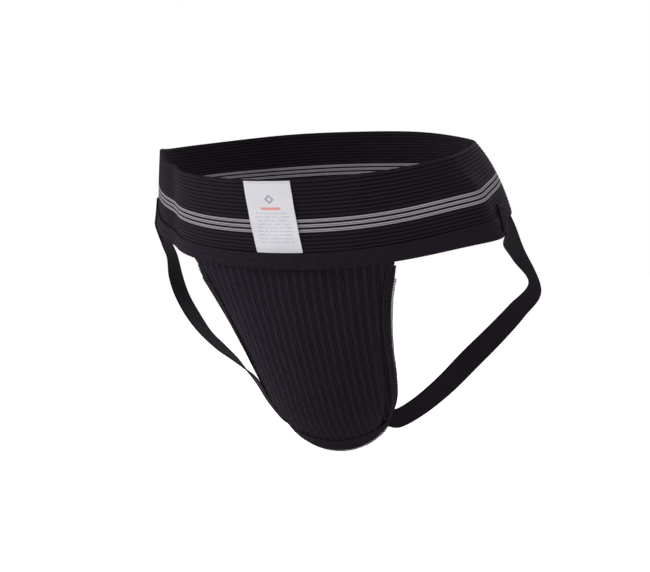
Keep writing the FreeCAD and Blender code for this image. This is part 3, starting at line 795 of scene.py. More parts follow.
def label_print(tree, flat, crest, colour):
    """Plain marks where a care label is printed: a lozenge, one bar and broken grey lines."""
    spot = add_node(tree, "ShaderNodeSeparateXYZ", {"Vector": flat})
    across = spot.outputs[0]
    down = spot.outputs[1]

    def bar(middle_across, half_across, middle_down, half_down):
        return calculate(tree, "MULTIPLY",
                         calculate(tree, "COMPARE", across, middle_across, half_across),
                         calculate(tree, "COMPARE", down, middle_down, half_down))

    tilted = calculate(tree, "ADD", calculate(tree, "ABSOLUTE", across),
                       calculate(tree, "ABSOLUTE", calculate(tree, "SUBTRACT", down, LOZENGE_DOWN)))
    lozenge = calculate(tree, "LESS_THAN", tilted, LOZENGE_OUTSIDE)
    hollow = calculate(tree, "LESS_THAN", tilted, LOZENGE_INSIDE)
    colour = blend_colours(tree, calculate(tree, "SUBTRACT", lozenge, hollow), colour,
                           (0.40, 0.39, 0.45))
    colour = blend_colours(tree, calculate(tree, "MULTIPLY",
                                           bar(0.0, 0.0085, 0.0245, 0.0011), 0.75),
                           colour, (0.80, 0.22, 0.17))
    lines = 0.0
    for number in range(PRINT_LINES):
        level = PRINT_FIRST + PRINT_STEP * number
        lines = calculate(tree, "ADD", lines, bar(0.0, 0.0150, level, 0.00055))
    words = add_node(tree, "ShaderNodeTexNoise", {"Scale": 1.0, "Detail": 1.0})
    stretched = add_node(tree, "ShaderNodeMapping", {"Vector": flat,
                                                     "Scale": (520.0, 312.0, 1.0)})
    tree.links.new(stretched.outputs[0], words.inputs["Vector"])
    broken = calculate(tree, "GREATER_THAN", words.outputs[0], 0.47)
    inked = calculate(tree, "MULTIPLY", calculate(tree, "MULTIPLY", lines, broken), 0.55)
    return blend_colours(tree, inked, colour, (0.38, 0.42, 0.50))


def label_satin():
    # painted shade: the label's fine ribs are painted at 0.93 of its colour in their grooves
    return cloth_material("label_satin", [0.93 * part for part in colours().label],
                          colours().label, 0.0005, 0.0005, sharpness=0.2, bump=0.00003,
                          sheen=0.0, roughness=0.55, decorate=label_print)


def thread(name, colour):
    """Twisted sewing thread."""
    found = made_material(name)
    if found:
        return found
    material, tree, shader = new_material(name)
    places = tree.nodes.new("ShaderNodeTexCoord")
    twist = add_node(tree, "ShaderNodeTexWave",
                     {"Vector": places.outputs["Object"], "Scale": 900.0, "Distortion": 1.5})
    # painted shade: the twist's grooves, low in the same wave as the bump, are painted at 0.55 of
    # the thread colour
    dark = [0.55 * part for part in colour]
    tree.links.new(blend_colours(tree, twist.outputs["Fac"], dark, colour),
                   shader.inputs["Base Color"])
    relief = add_node(tree, "ShaderNodeBump", {"Height": twist.outputs["Fac"],
                                               "Distance": 0.00008})
    tree.links.new(relief.outputs[0], shader.inputs["Normal"])
    shader.inputs["Roughness"].default_value = 0.6
    shader.inputs["Specular IOR Level"].default_value = 0.25
    return material


def thread_dark():
    return thread("thread_dark", colours().thread_dark)


def thread_light():
    return thread("thread_light", colours().thread_light)


def moulded(name, colour, roughness, grain, coat):
    """Moulded plastic or rubber with a fine grain, scuffs and slight mottling."""
    found = made_material(name)
    if found:
        return found
    material, tree, shader = new_material(name)
    places = tree.nodes.new("ShaderNodeTexCoord")
    handling = add_node(tree, "ShaderNodeGroup", node_tree=handling_group())
    tree.links.new(places.outputs["Object"], handling.inputs["Place"])
    handling.inputs["Speck size"].default_value = 0.012
    fine = add_node(tree, "ShaderNodeTexNoise",
                    {"Vector": places.outputs["Object"], "Scale": grain, "Detail": 3.0})
    scuffs = add_node(tree, "ShaderNodeTexNoise",
                      {"Vector": places.outputs["Object"], "Scale": 90.0, "Detail": 6.0,
                       "Roughness": 0.7})
    worn = calculate(tree, "GREATER_THAN", scuffs.outputs[0], 0.64)
    pale = [min(1.0, 1.25 * part + 0.02) for part in colour]
    mottled = blend_colours(tree, handling.outputs["Fading"], [0.86 * part for part in colour],
                            colour)
    tree.links.new(blend_colours(tree, calculate(tree, "MULTIPLY", worn, 0.4), mottled, pale),
                   shader.inputs["Base Color"])
    tree.links.new(calculate(tree, "ADD", roughness,
                             calculate(tree, "MULTIPLY", scuffs.outputs[0], 0.18)),
                   shader.inputs["Roughness"])
    relief = add_node(tree, "ShaderNodeBump", {"Height": fine.outputs[0], "Distance": 0.00012})
    tree.links.new(relief.outputs[0], shader.inputs["Normal"])
    shader.inputs["Coat Weight"].default_value = coat
    shader.inputs["Coat Roughness"].default_value = 0.2
    return material


# ---------------------------------------------------------------- waistband

BAND_COLUMNS = 300
BAND_ROW_STEP = 0.00052


def stripe_centres():
    """Distances below the rim of the three light stripes."""
    first = sizes().ribs_above * sizes().rib_pitch + sizes().stripe_pitch / 2
    return [first + number * sizes().stripe_pitch for number in range(3)]


def band_rib_count(down):
    """Ribs counted from the rim: plain ribs, three wide striped ones, then plain again."""
    stripes_start = sizes().ribs_above * sizes().rib_pitch
    stripes_end = stripes_start + 3 * sizes().stripe_pitch
    levels = (0.0, stripes_start, stripes_end, BAND_TALL)
    last = sizes().ribs_above + 3 + (BAND_TALL - stripes_end) / sizes().rib_pitch
    return np.interp(down, levels, (0.0, sizes().ribs_above, sizes().ribs_above + 3, last))


def make_waistband():
    rows = int(round(BAND_TALL / BAND_ROW_STEP)) + 1
    down = np.linspace(0.0, BAND_TALL, rows)
    angle = FRONT + 360.0 * np.arange(BAND_COLUMNS) / BAND_COLUMNS
    angles, downs = np.meshgrid(angle, down, indexing="ij")
    ribs = band_rib_count(downs)
    edge = rounded_edge(np.minimum(downs, BAND_TALL - downs), 0.0011)
    relief = ridge_of(ribs, 0.8) * sizes().rib_height
    slack = 0.0003 * np.sin(np.radians(angles) * 7 + downs * 60)
    middle = -BAND_THICK / 2
    half = BAND_THICK / 2 - sizes().rib_height / 2
    face = band_at(angles, downs, middle + (half + relief) * edge + slack)
    back = band_at(angles, downs, middle - (half + relief) * edge + slack)
    length = travelled_along(np.vstack([face[:, rows // 2], face[:1, rows // 2]]))
    across = np.repeat(length[:, None], rows, axis=1)
    along = np.vstack([downs, downs[:1]])
    piece = cloth_piece("waistband_elastic", face, back, across, along, ribs, ribbed_elastic(),
                        ring=True)
    place(piece, "supporter", "ribbed_elastic", "waistband")
    return piece


SEAM_INSET = 0.004
SEAM_SWING = 1.5


def make_seam():
    """Zigzag that closes the waistband into a ring, inside behind the label."""
    count = 26
    down = np.linspace(SEAM_INSET, BAND_TALL - SEAM_INSET, count)
    swing = np.where(np.arange(count) % 2, SEAM_SWING, -SEAM_SWING)
    lift = np.full(count, -BAND_THICK - 0.0004)
    zigzag = band_at(FRONT + swing, down, lift)
    sides = [band_at(np.full(count, FRONT + turn), down, lift) for turn in (-1.9, 1.9)]
    piece = sew("waistband_seam_thread", [zigzag, *sides], 0.0016, 0.0017, 0.0005,
                thread_dark(), 3)
    return place(piece, "supporter", "thread_dark", "waistband_seam_stitching")


# ---------------------------------------------------------------- tape and label


def tape_down(angle, share):
    """Distance below the rim at a share of the tape's height."""
    rise = TAPE_RISE * np.clip(1 - ((angle - FRONT) / TAPE_END_ANGLE) ** 4, 0.0, 1.0)
    return mix(HEM_LINE - TAPE_TALL, HEM_LINE - rise, share)


def make_tape():
    columns, rows = 220, 31
    reach = TAPE_END_ANGLE + TAPE_TUCK
    angle = np.linspace(FRONT - reach, FRONT + reach, columns)
    angles, shares = np.meshgrid(angle, np.linspace(0.0, 1.0, rows), indexing="ij")
    downs = tape_down(angles, shares)
    edge = rounded_edge(np.minimum(shares, 1 - shares) * TAPE_TALL, 0.0009)
    dimple = sum(np.exp(-((shares - row) / 0.035) ** 2) for row in TAPE_ROWS)
    middle = CLOTH_GAP + TAPE_THICK / 2
    half = TAPE_THICK / 2
    pucker = 0.00012 * np.sin(angles * 2.4) * np.sin(shares * np.pi * 2)
    face = band_at(angles, downs, middle + half * edge - 0.0003 * dimple + pucker)
    back = band_at(angles, downs, middle - half * edge)
    length = travelled_along(face[:, rows // 2])
    across = np.repeat(length[:, None], rows, axis=1)
    along = shares * TAPE_TALL
    piece = cloth_piece("lower_edge_binding", face, back, across, along, along / 0.0012,
                        plain_elastic())
    place(piece, "supporter", "plain_elastic", "lower_edge_tape")
    return piece


def make_tape_stitches():
    angle = np.linspace(FRONT - TAPE_END_ANGLE + 1.0, FRONT + TAPE_END_ANGLE - 1.0, 200)
    lift = np.full_like(angle, CLOTH_GAP + TAPE_THICK + 0.00005)
    runs = [band_at(angle, tape_down(angle, share), lift) for share in TAPE_ROWS]
    piece = sew("tape_thread", runs, 0.0030, 0.0025, 0.00055, thread_dark(), 5)
    return place(piece, "supporter", "thread_dark", "tape_stitching")


def label_angle(across, down):
    half_width = mix(RIM_HALF_WIDTH, HEM_HALF_WIDTH, down / HEM_LINE)
    return FRONT + np.degrees(np.arcsin(across / half_width))


def make_label():
    columns, rows = 34, 52
    across = np.linspace(-LABEL_WIDE / 2, LABEL_WIDE / 2, columns)
    down = np.linspace(LABEL_TOP, LABEL_BOTTOM, rows)
    acrosses, downs = np.meshgrid(across, down, indexing="ij")
    angles = label_angle(acrosses, downs)
    free = np.sin(np.pi * (downs - LABEL_TOP) / (LABEL_BOTTOM - LABEL_TOP))
    curl = 0.0007 * free * (np.abs(acrosses) / (LABEL_WIDE / 2)) ** 4
    wave = 0.00022 * free * np.sin(downs * 260.0 + acrosses * 90.0)
    low = CLOTH_GAP + 0.00025 + curl + wave
    face = band_at(angles, downs, low + LABEL_THICK)
    back = band_at(angles, downs, low)
    piece = cloth_piece("care_label", face, back, acrosses, downs, acrosses / 0.0009,
                        label_satin())
    place(piece, "supporter", "label_satin", "label")
    return piece


def make_label_stitches():
    across = np.linspace(-0.94 * LABEL_WIDE / 2, 0.94 * LABEL_WIDE / 2, 40)
    runs = []
    for down in (0.0022, LABEL_BOTTOM - 0.0034, LABEL_BOTTOM - 0.0016):
        level = np.full_like(across, down)
        lift = np.full_like(across, CLOTH_GAP + LABEL_THICK + 0.00035)
        runs.append(band_at(label_angle(across, level), level, lift))
    piece = sew("label_thread", runs, 0.0021, 0.0017, 0.00032, thread_light(), 7)
    return place(piece, "supporter", "thread_light", "label_stitching")


# ---------------------------------------------------------------- pouch


CREASE_DEPTH = 0.0030
CREASE_INSET = 0.0040
CREASE_WIDE = 0.0026
# how much more cloth than width there is at the gathered bottom of the pouch
GATHERED = 1.22
WALE_PITCH = 0.0025
WALE_HEIGHT = 0.0001


def make_pouch():
    columns, rows = 221, 190
    row = np.linspace(POUCH_TOP, POUCH_END - 0.08, rows)
    shares = np.linspace(-1.0, 1.0, columns)
    side = np.empty((columns, rows))
    from_centre = np.empty((columns, rows))
    from_edge = np.empty((columns, rows))
    for number, level in enumerate(row):
        arc = pouch_arc(level)
        from_centre[:, number] = shares * (arc[-1] - PANEL_INSET)
        from_edge[:, number] = arc[-1] - np.abs(from_centre[:, number])
        side[:, number] = np.interp(from_centre[:, number], arc, ARC_SIDES)
    levels = np.repeat(row[None, :], columns, axis=0)
    centre_line = pouch_points(row, np.zeros(rows))
    along = np.repeat(travelled_along(centre_line)[None, :], columns, axis=0)
    gather = mix(1.0, GATHERED, np.clip(levels / POUCH_END, 0.0, 1.0))
    across = from_centre * gather
    ribs = across / sizes().knit_rib_pitch + 0.5
    ridge = ridge_of(ribs, KNIT_SHARPNESS)
    sink = -PANEL_SINK * np.clip(1.0 - np.maximum(levels, 0.0), 0.0, None)
    # the knit dips along the inside of each leg edging, deepest low down on the sides
    low_down = np.clip((levels - 1.6) / 1.8, 0.0, 1.0)
    beside = (from_edge - EDGING_WIDE - CREASE_INSET) / CREASE_WIDE
    crease = CREASE_DEPTH * low_down * np.exp(-beside ** 2)
    wander = 0.0005 * np.sin(from_centre * 85.0 + levels * 1.7) * np.sin(levels * 2.1 + 0.6)
    under_edging = 0.0002 * np.exp(-(from_edge / EDGING_WIDE) ** 8)
    outside = sink - crease + wander * np.clip(from_edge / 0.03 - 0.4, 0.0, 1.0) - under_edging
    wale = WALE_HEIGHT * np.abs(np.sin(np.pi * across / WALE_PITCH))
    face = pouch_at(levels, side, outside + sizes().knit_rib_height * (ridge - 0.2) + wale)
    back = pouch_at(levels, side, outside - POUCH_THICK)
    piece = cloth_piece("pouch_knit", face, back, across, along, ribs, rib_knit())
    place(piece, "supporter", "rib_knit", "pouch_panel")
    return piece


# how far the edgings sink under the tape at their tops, and over how many pouch rows
TUCK_DEPTH = 0.0022
TUCK_ROWS = 0.40


def edge_strip(name, rows, inner, outer, low, high, slot, material, node, sign):
    """Elastic strip along a leg edge of the pouch, lightly puckered by its stitches."""
    columns, wide = 260, 15
    row = np.linspace(rows[0], rows[1], columns)
    share = np.linspace(0.0, 1.0, wide)
    inner_side = np.array([pouch_side(level, inner) for level in row])
    outer_side = np.array([pouch_side(level, outer) for level in row])
    sides = sign * mix(inner_side[:, None], outer_side[:, None], share[None, :])
    levels = np.repeat(row[:, None], wide, axis=1)
    length = travelled_along(pouch_points(row, outer_side))
    along = np.repeat(length[:, None], wide, axis=1)
    across = np.repeat((share * (inner - outer))[None, :], columns, axis=0)
    edge = rounded_edge(np.minimum(share, 1 - share)[None, :] * (inner - outer), 0.0008)
    tucks = 0.00018 * np.sin(2 * np.pi * along / 0.0042 + 1.3 * np.sin(along * 150.0))
    tucks = tucks * np.sin(np.pi * share)[None, :]
    tucked = -TUCK_DEPTH * np.clip(1.0 - (levels - EDGING_ROWS[0]) / TUCK_ROWS, 0.0, 1.0)
    middle = (low + high) / 2 + tucked
    half = (high - low) / 2
    face = pouch_at(levels, sides, middle + half * edge + tucks)
    back = pouch_at(levels, sides, middle - half * edge)
    piece = cloth_piece(name, face, back, across, along, across / 0.0014, material)
    place(piece, "supporter", slot, node)
    return piece


def leg_edge_runs(rows, inset, lift, count=200):
    """Lines along both leg edges, and the way out of the cloth's edge there."""
    runs = []
    outward = []
    row = np.linspace(rows[0], rows[1], count)
    side = np.array([pouch_side(level, inset) for level in row])
    for _, sign in SIDES:
        points = pouch_at(row, sign * side, np.full(count, lift))
        beyond = pouch_points(row, sign * np.full(count, 90.0))
        within = pouch_points(row, sign * np.full(count, 84.0))
        runs.append(points)
        outward.append(unit(beyond - within))
    return runs, outward


def make_leg_edgings():
    low = CLOTH_GAP
    high = CLOTH_GAP + EDGING_THICK
    for label, sign in SIDES:
        edge_strip("leg_binding_" + label, EDGING_ROWS, EDGING_WIDE, 0.0, low, high,
                   "picot_elastic", picot_elastic(), "leg_edging_" + label, sign)
    runs, _ = leg_edge_runs((EDGING_ROWS[0] + 0.1, EDGING_ROWS[1] - 0.1), 0.0070, high)
    second, _ = leg_edge_runs((EDGING_ROWS[0] + 0.1, EDGING_ROWS[1] - 0.1), 0.0020, high)
    piece = sew("leg_binding_thread", runs + second, 0.0026, 0.0022, 0.0005, thread_dark(), 11)
    place(piece, "supporter", "thread_dark", "leg_edging_stitching")


def make_picots():
    """Loops along both leg edges and along the bottom of the pouch."""
    height = CLOTH_GAP + EDGING_THICK / 2
    runs, outward = leg_edge_runs((PICOTS_START, EDGING_ROWS[1]), 0.0, height)
    count = 160
    side = np.linspace(-86.0, 86.0, count)
    row = np.full(count, POUCH_END)
    bottom = pouch_at(row, side, np.full(count, height))
    above = pouch_points(row - 0.1, side)
    runs.append(bottom)
    outward.append(unit(pouch_points(row, side) - above))
    path = path_piece("picot_path", runs, outward)
    piece = grow_along(path, picot_tree(), {
        "Spacing": sizes().picot_pitch, "Loop radius": PICOT_RADIUS, "Yarn thickness": PICOT_YARN,
        "Seed": 13, "Thread": picot_elastic_yarn()}, "picot_loops")
    return place(piece, "supporter", "picot_elastic")


def picot_elastic_yarn():
    return thread("picot_yarn", colours().edging)


def make_pouch_hem():
    columns, wide = 240, 15
    side = np.linspace(-88.0, 88.0, columns)
    share = np.linspace(0.0, 1.0, wide)
    sides, shares = np.meshgrid(side, share, indexing="ij")
    levels = mix(HEM_ROWS[0], HEM_ROWS[1], shares)
    points = pouch_points(levels, sides)
    along = travelled_along(points[:, wide // 2])[:, None] * np.ones((1, wide))
    across = np.stack([travelled_along(line) for line in points])
    edge = rounded_edge(np.minimum(shares, 1 - shares) * HEM_TALL, 0.0006)
    tucks = 0.0003 * np.sin(2 * np.pi * along / 0.0055 + 1.5 * np.sin(along * 120.0))
    tucks = tucks * np.sin(np.pi * shares)
    middle = CLOTH_GAP + EDGING_THICK / 2
    half = EDGING_THICK / 2
    face = pouch_at(levels, sides, middle + half * edge + tucks)
    back = pouch_at(levels, sides, middle - half * edge)
    piece = cloth_piece("pouch_bottom_binding", face, back, across, along, across / 0.0016,
                        picot_elastic())
    place(piece, "supporter", "picot_elastic", "pouch_bottom_hem")
    line = np.linspace(-84.0, 84.0, 150)
    lift = np.full_like(line, CLOTH_GAP + EDGING_THICK + 0.0001)
    runs = [pouch_at(np.full_like(line, level), line, lift)
            for level in (HEM_ROWS[0] + 0.06, HEM_ROWS[1] - 0.08)]
    threads = sew("bottom_binding_thread", runs, 0.0026, 0.0022, 0.0005, thread_dark(), 17)
    place(threads, "supporter", "thread_dark", "bottom_hem_stitching")


# ---------------------------------------------------------------- leg straps

STRAP_STEPS = 12


def strap_stations(label, sign):
    """Centre and width direction of one strap, mirrored to +X for either side."""
    stations = []
    for from_front, down, turn in STRAP_ROOT:
        ends = []
        for step in (0, 1, -1):
            spot = band_at(np.array(FRONT + sign * (from_front + step * turn)),
                           np.array(down - step * 0.010), STRAP_LIFT)
            ends.append(spot * (sign, 1.0, 1.0))
        stations.append(np.concatenate([ends[0], unit(ends[1] - ends[2])]))
    for across, backward, drop, *wide in STRAP_ROWS[label]:
        centre = (across * HEM_HALF_WIDTH, backward * HEM_BACK_DEPTH, -drop * WHOLE_DROP)
        stations.append(np.concatenate([centre, unit(np.array(wide))]))
    for inset, stand in SEAT_RUN:
        depth = POUCH_THICK + CLOTH_GAP + STRAP_THICK / 2 + stand
        ends = [pouch_at(np.array(row), np.array(pouch_side(row, inset)), -depth)
                for row in SEAT_ROWS]
        stations.append(np.concatenate([(ends[0] + ends[1]) / 2, unit(ends[1] - ends[0])]))
    return np.array(stations)


def strap_frames(label, sign):
    """Centres, width directions and outward normals close together along one strap."""
    stations = strap_stations(label, sign)
    count = (len(stations) - 1) * STRAP_STEPS + 1
    values = smooth_rows(stations, np.linspace(0, len(stations) - 1, count))
    centres = values[:, :3]
    widths = unit(values[:, 3:])
    normals = unit(np.cross(widths, np.gradient(centres, axis=0)))
    if normals[STRAP_STEPS // 2, 0] < 0:
        normals = -normals
    mirror = np.array((sign, 1.0, 1.0))
    return centres * mirror, widths * mirror, normals * mirror


def make_strap(label, sign):
    centres, widths, normals = strap_frames(label, sign)
    columns = len(centres)
    rows = 23
    share = np.linspace(-1.0, 1.0, rows)
    edge = rounded_edge((1 - np.abs(share)) * STRAP_WIDE / 2, 0.0009)
    across_line = share * STRAP_WIDE / 2
    length = travelled_along(centres)
    ribs = np.repeat((across_line / sizes().strap_rib_pitch)[None, :], columns, axis=0)
    relief = 0.00012 * ridge_of(ribs, 0.7)
    flat = centres[:, None, :] + widths[:, None, :] * across_line[None, :, None]
    lift = (STRAP_THICK / 2 * edge[None, :] + relief)[..., None]
    face = flat + normals[:, None, :] * lift
    back = flat - normals[:, None, :] * lift
    across = np.repeat(across_line[None, :], columns, axis=0)
    along = np.repeat(length[:, None], rows, axis=1)
    piece = cloth_piece("leg_elastic_" + label, face, back, across, along, ribs, strap_elastic_shaded())
    place(piece, "supporter", "plain_elastic", "leg_strap_" + label)
    return piece


def tack_runs(first, last, lift):
    """Box of stitches with a cross in it, on both straps between two places along them."""
    runs = []
    for label, sign in SIDES:
        centres, widths, normals = strap_frames(label, sign)
        picked = slice(first, last)
        span = len(centres[picked])
        shares = np.linspace(-0.78, 0.78, 14)
        for share in (-0.78, 0.78):
            runs.append(centres[picked] + widths[picked] * share * STRAP_WIDE / 2
                        + normals[picked] * lift)
        for end in (0, span - 1):
            middle = centres[picked][end] + normals[picked][end] * lift
            runs.append(middle + widths[picked][end] * shares[:, None] * STRAP_WIDE / 2)
        slanted = np.linspace(-0.78, 0.78, span)
        for direction in (-1, 1):
            runs.append(centres[picked]
                        + widths[picked] * direction * slanted[:, None] * STRAP_WIDE / 2
                        + normals[picked] * lift)
    return runs


def make_tacks():
    lift = STRAP_THICK / 2 + 0.00025
    top = sew("strap_top_thread", tack_runs(2, 2 * STRAP_STEPS - 6, lift), 0.0023, 0.0019,
              0.00055, thread_dark(), 19)
    place(top, "supporter", "thread_dark", "strap_top_tacks")
    low = sew("strap_bottom_thread", tack_runs(-STRAP_STEPS, -2, -lift), 0.0023, 0.0019,
              0.00055, thread_dark(), 23)
    place(low, "supporter", "thread_dark", "strap_bottom_tacks")


# ---------------------------------------------------------------- cup


def cup_place(points):
    """Cup's own upright coordinates turned and carried to its seat in the pouch."""
    front = pouch_points(np.array(CUP_ROW), np.array(0.0))
    backward = np.array((0.0, math.cos(CUP_TILT), math.sin(CUP_TILT)))
    seat = front + backward * (POUCH_THICK + CUP_CLEARANCE + CUP_DEPTH)
    cosine = math.cos(CUP_TILT)
    sine = math.sin(CUP_TILT)
    turned = np.stack([points[..., 0], points[..., 1] * cosine - points[..., 2] * sine,
                       points[..., 1] * sine + points[..., 2] * cosine], axis=-1)
    return turned + seat


def make_cup_shell():
    """The moulded shell keeps its CAD shape and gets its finish here."""
    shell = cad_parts["cup_shell"]
    finish = moulded("cup_plastic", colours().cup, 0.28, 900.0, 0.25)
    for slot in shell.material_slots:
        slot.material = finish
    return shell


def make_cup_cushion():
    """Soft moulded rim pad, crowned, with a seam line round its middle."""
    around, section = 144, 24
    turn = np.linspace(0, 2 * np.pi, around, endpoint=False)
    roll = np.linspace(0, 2 * np.pi, section, endpoint=False)
    turns, rolls = np.meshgrid(turn, roll, indexing="ij")
    centre_long = CUP_HALF_LENGTH + CUP_FLANGE + 0.001 - CUSHION_WIDE / 2
    centre_wide = CUP_HALF_WIDTH + CUP_FLANGE + 0.001 - CUSHION_WIDE / 2
    fat = 1.0 - 0.06 * np.cos(rolls - np.pi) ** 8
    out = CUSHION_WIDE / 2 * np.sign(np.cos(rolls)) * np.abs(np.cos(rolls)) ** 0.8 * fat
    deep = CUSHION_THICK / 2 * np.sign(np.sin(rolls)) * np.abs(np.sin(rolls)) ** 0.75
    dent = 1.0 + 0.02 * np.sin(turns * 9.0)
    slope = unit(np.stack([np.cos(turns) / centre_wide, np.sin(turns) / centre_long], axis=-1))
    x = centre_wide * np.cos(turns) + slope[..., 0] * out * dent
    z = centre_long * np.sin(turns) + slope[..., 1] * out * dent
    y = CLOTH_GAP + CUSHION_THICK / 2 + deep
    points = cup_place(np.stack([x, y, z], axis=-1)).reshape(-1, 3)
    faces = []
    for a in range(around):
        following = (a + 1) % around
        for b in range(section):
            beside = (b + 1) % section
            faces.append((a * section + b, a * section + beside,
                          following * section + beside, following * section + b))
    finish = moulded("cup_rubber", colours().cushion, 0.62, 1500.0, 0.0)
    piece = make_piece("cup_rim_cushion", points.tolist(), faces, finish, 80.0)
    place(piece, "cup", "cup_rubber", "cup_cushion")
    return piece


# ---------------------------------------------------------------- stage


# name, place, watts and size of each soft light, all turned to the middle of the garment
LIGHTS = (
    ("key_light", (-0.95, -1.75, 1.5), 34.0, 0.9),
    ("fill_light", (1.9, -0.7, 0.9), 3.0, 1.2),
    ("back_light", (0.2, 1.8, 1.2), 10.0, 1.2),
)
LIGHT_TARGET = (0.0, 0.0, -0.1)


def add_light(name, location, power, size):
    data = bpy.data.lights.new(name, "AREA")
    data.energy = power
    data.size = size
    light = bpy.data.objects.new(name, data)
    light.location = location
    aim = Vector(LIGHT_TARGET) - Vector(location)
    light.rotation_euler = aim.to_track_quat("-Z", "Y").to_euler()
    bpy.context.scene.collection.objects.link(light)


FLOOR_GLOW = 0.62
FLOOR_HALF = 9.0
FLOOR_STEPS = 24
FLOOR_BELOW = 0.004


def make_floor():
    half = FLOOR_HALF
    steps = FLOOR_STEPS
    level = CAD_BOX[0][2] - FLOOR_BELOW
    points = []
    faces = []
    for i in range(steps + 1):
        for j in range(steps + 1):
            points.append((mix(-half, half, i / steps), mix(-half, half, j / steps), level))
    for i in range(steps):
        for j in range(steps):
            corner = i * (steps + 1) + j
            faces.append((corner, corner + steps + 1, corner + steps + 2, corner + 1))
    material, tree, shader = new_material("pale_floor")
    places = tree.nodes.new("ShaderNodeTexCoord")
    paper = add_node(tree, "ShaderNodeTexNoise", {"Vector": places.outputs["Object"],
                                                  "Scale": 3.0})
    tree.links.new(blend_colours(tree, paper.outputs[0], (0.90, 0.90, 0.90), (0.94, 0.94, 0.94)),
                   shader.inputs["Base Color"])
    rays = tree.nodes.new("ShaderNodeLightPath")
    tree.links.new(calculate(tree, "MULTIPLY", rays.outputs["Is Camera Ray"], FLOOR_GLOW),
                   shader.inputs["Emission Strength"])
    shader.inputs["Emission Color"].default_value = (1.0, 1.0, 1.0, 1.0)
    shader.inputs["Roughness"].default_value = 0.9
    shader.inputs["Specular IOR Level"].default_value = 0.1
    floor = make_piece("studio_floor", points, faces, material)


CAMERA_PLACE = (0.42427, -1.09630, -0.08427)
CAMERA_FORWARD = (-0.35333, 0.93512, -0.02664)
CAMERA_LENS = 74.11
CAMERA_SENSOR = 36.0


def make_camera():
    data = bpy.data.cameras.new("studio_camera")
    data.sensor_width = CAMERA_SENSOR
    data.lens = CAMERA_LENS
    data.clip_start = 0.02
    camera = bpy.data.objects.new("studio_camera", data)
    camera.location = CAMERA_PLACE
    camera.rotation_euler = Vector(CAMERA_FORWARD).to_track_quat("-Z", "Y").to_euler()
    bpy.context.scene.collection.objects.link(camera)
    bpy.context.scene.camera = camera


def make_world():
    world = bpy.data.worlds.new("studio_world")
    world.use_nodes = True
    tree = world.node_tree
    backdrop = tree.nodes["Background"]
    backdrop.inputs["Color"].default_value = (1.0, 1.0, 1.0, 1.0)
    rays = tree.nodes.new("ShaderNodeLightPath")
    unseen = calculate(tree, "SUBTRACT", 1.0, rays.outputs["Is Camera Ray"])
    glow = calculate(tree, "ADD", rays.outputs["Is Camera Ray"],
                     calculate(tree, "MULTIPLY", unseen, sizes().world_strength))
    tree.links.new(glow, backdrop.inputs["Strength"])
    bpy.context.scene.world = world


# ---------------------------------------------------------------- add-on


def length_property(name, default, description):
    return FloatProperty(name=name, description=description, default=default,
                         subtype="DISTANCE", unit="LENGTH")


def colour_property(name, default, description):
    return FloatVectorProperty(name=name, description=description, default=default,
                               subtype="COLOR")


class SupporterSizes(bpy.types.PropertyGroup):
    """Sizes of the cloth's own detail"""

    rib_pitch: length_property("Rib pitch", 0.0034, "Height of one waistband rib")
    rib_height: length_property("Rib height", 0.0006, "How far a waistband rib stands out")
    ribs_above: IntProperty(name="Ribs above stripes", description="Plain ribs above the stripes",
                            default=10)
    stripe_pitch: length_property("Stripe pitch", 0.0044, "Distance between stripes")
    stripe_tall: length_property("Stripe height", 0.0027, "Height of one light stripe")
    knit_rib_pitch: length_property("Knit rib pitch", 0.0075, "Distance between pouch ribs")
    knit_rib_height: length_property("Knit rib height", 0.0005, "Height of a pouch rib")
    strap_rib_pitch: length_property("Strap rib pitch", 0.0016, "Ribs along the straps")
    picot_pitch: length_property("Picot pitch", 0.0030, "Distance between edge loops")
    world_strength: FloatProperty(name="World strength", description="Light from all round",
                                  default=0.45)


class SupporterColours(bpy.types.PropertyGroup):
    """Colours of the finishes"""

    cloth: colour_property("Cloth", (0.0240, 0.0155, 0.0270), "Elastic on its ridges")
    # painted shade: the near-black painted into the grooves and yarn gaps of every cloth
    painted_groove_shade: colour_property("Groove", (0.0012, 0.0007, 0.0014), "Cloth in its grooves")
    knit: colour_property("Knit", (0.032, 0.0205, 0.038), "Ridges of the pouch knit")
    edging: colour_property("Edging", (0.021, 0.0130, 0.0215), "Elastic edging of the pouch")
    stripe: colour_property("Stripe", (0.42, 0.385, 0.43), "Light stripes of the waistband")
    label: colour_property("Label", (0.80, 0.79, 0.84), "Satin of the care label")
    thread_dark: colour_property("Dark thread", (0.018, 0.015, 0.019), "Thread of the seams")
    thread_light: colour_property("Light thread", (0.55, 0.54, 0.60), "Thread of the label")
    cup: colour_property("Cup", (0.62, 0.62, 0.60), "Moulded shell of the cup")
    cushion: colour_property("Cushion", (0.035, 0.035, 0.038), "Soft rim of the cup")


class SUPPORTER_OT_stage(bpy.types.Operator):
    """Floor, soft light and camera"""

    bl_idname = "supporter.stage"
    bl_label = "Stage"

    def execute(self, context):
        make_floor()
        make_world()
        make_camera()
        for light in LIGHTS:
            add_light(*light)
        context.scene.view_settings.view_transform = "Standard"
        return {"FINISHED"}


class SUPPORTER_OT_waistband(bpy.types.Operator):
    """Ribbed waistband and its closing seam"""

    bl_idname = "supporter.waistband"
    bl_label = "Waistband"

    def execute(self, context):
        make_waistband()
        make_seam()
        return {"FINISHED"}


class SUPPORTER_OT_tape(bpy.types.Operator):
    """Binding along the waistband's lower edge"""

    bl_idname = "supporter.tape"
    bl_label = "Lower edge binding"

    def execute(self, context):
        make_tape()
        make_tape_stitches()
        return {"FINISHED"}


class SUPPORTER_OT_label(bpy.types.Operator):
    """Care label on the front of the waistband"""

    bl_idname = "supporter.label"
    bl_label = "Label"

    def execute(self, context):
        make_label()
        make_label_stitches()
        return {"FINISHED"}


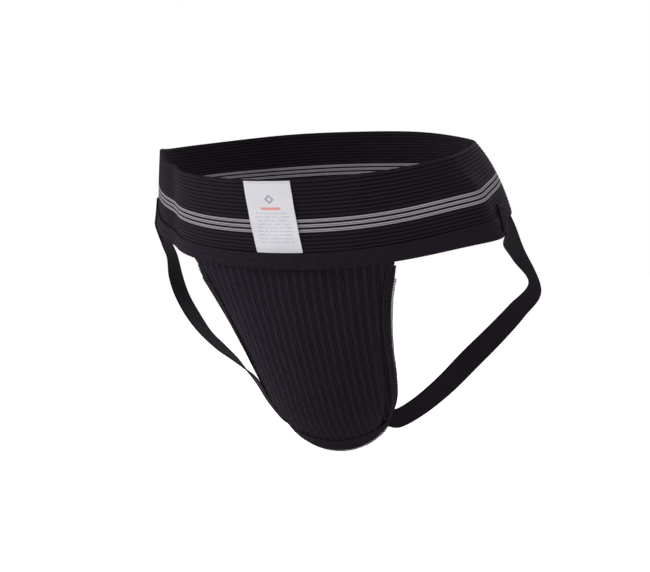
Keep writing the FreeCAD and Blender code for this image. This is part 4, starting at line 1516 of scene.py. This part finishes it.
class SUPPORTER_OT_pouch(bpy.types.Operator):
    """Rib-knit pouch with its elastic edges"""

    bl_idname = "supporter.pouch"
    bl_label = "Pouch"

    def execute(self, context):
        make_pouch()
        make_leg_edgings()
        make_pouch_hem()
        make_picots()
        return {"FINISHED"}


class SUPPORTER_OT_straps(bpy.types.Operator):
    """Leg straps and the stitches that hold them"""

    bl_idname = "supporter.straps"
    bl_label = "Leg straps"

    def execute(self, context):
        for label, sign in SIDES:
            make_strap(label, sign)
        make_tacks()
        return {"FINISHED"}


class SUPPORTER_OT_cup(bpy.types.Operator):
    """Lift-out cup and its soft rim"""

    bl_idname = "supporter.cup"
    bl_label = "Cup"

    def execute(self, context):
        make_cup_shell()
        make_cup_cushion()
        return {"FINISHED"}


OPERATORS = (
    SUPPORTER_OT_stage, SUPPORTER_OT_waistband, SUPPORTER_OT_tape, SUPPORTER_OT_label,
    SUPPORTER_OT_pouch, SUPPORTER_OT_straps, SUPPORTER_OT_cup,
)


class SUPPORTER_PT_panel(bpy.types.Panel):
    """Pieces of the groin protector"""

    bl_idname = "SUPPORTER_PT_panel"
    bl_label = "Groin protector"
    bl_space_type = "VIEW_3D"
    bl_region_type = "UI"
    bl_category = "Supporter"

    def draw(self, context):
        for operator in OPERATORS:
            self.layout.operator(operator.bl_idname)
        for group in (context.scene.supporter_sizes, context.scene.supporter_colours):
            for label in group.__annotations__:
                self.layout.prop(group, label)


CLASSES = (SupporterSizes, SupporterColours, *OPERATORS, SUPPORTER_PT_panel)


def register():
    for item in CLASSES:
        bpy.utils.register_class(item)
    bpy.types.Scene.supporter_sizes = PointerProperty(type=SupporterSizes)
    bpy.types.Scene.supporter_colours = PointerProperty(type=SupporterColours)


def unregister():
    del bpy.types.Scene.supporter_colours
    del bpy.types.Scene.supporter_sizes
    for item in reversed(CLASSES):
        bpy.utils.unregister_class(item)


def main():
    register()
    bpy.ops.supporter.stage()
    bpy.ops.supporter.waistband()
    bpy.ops.supporter.tape()
    bpy.ops.supporter.label()
    bpy.ops.supporter.pouch()
    bpy.ops.supporter.straps()
    bpy.ops.supporter.cup()


if __name__ == "__main__":
    main()
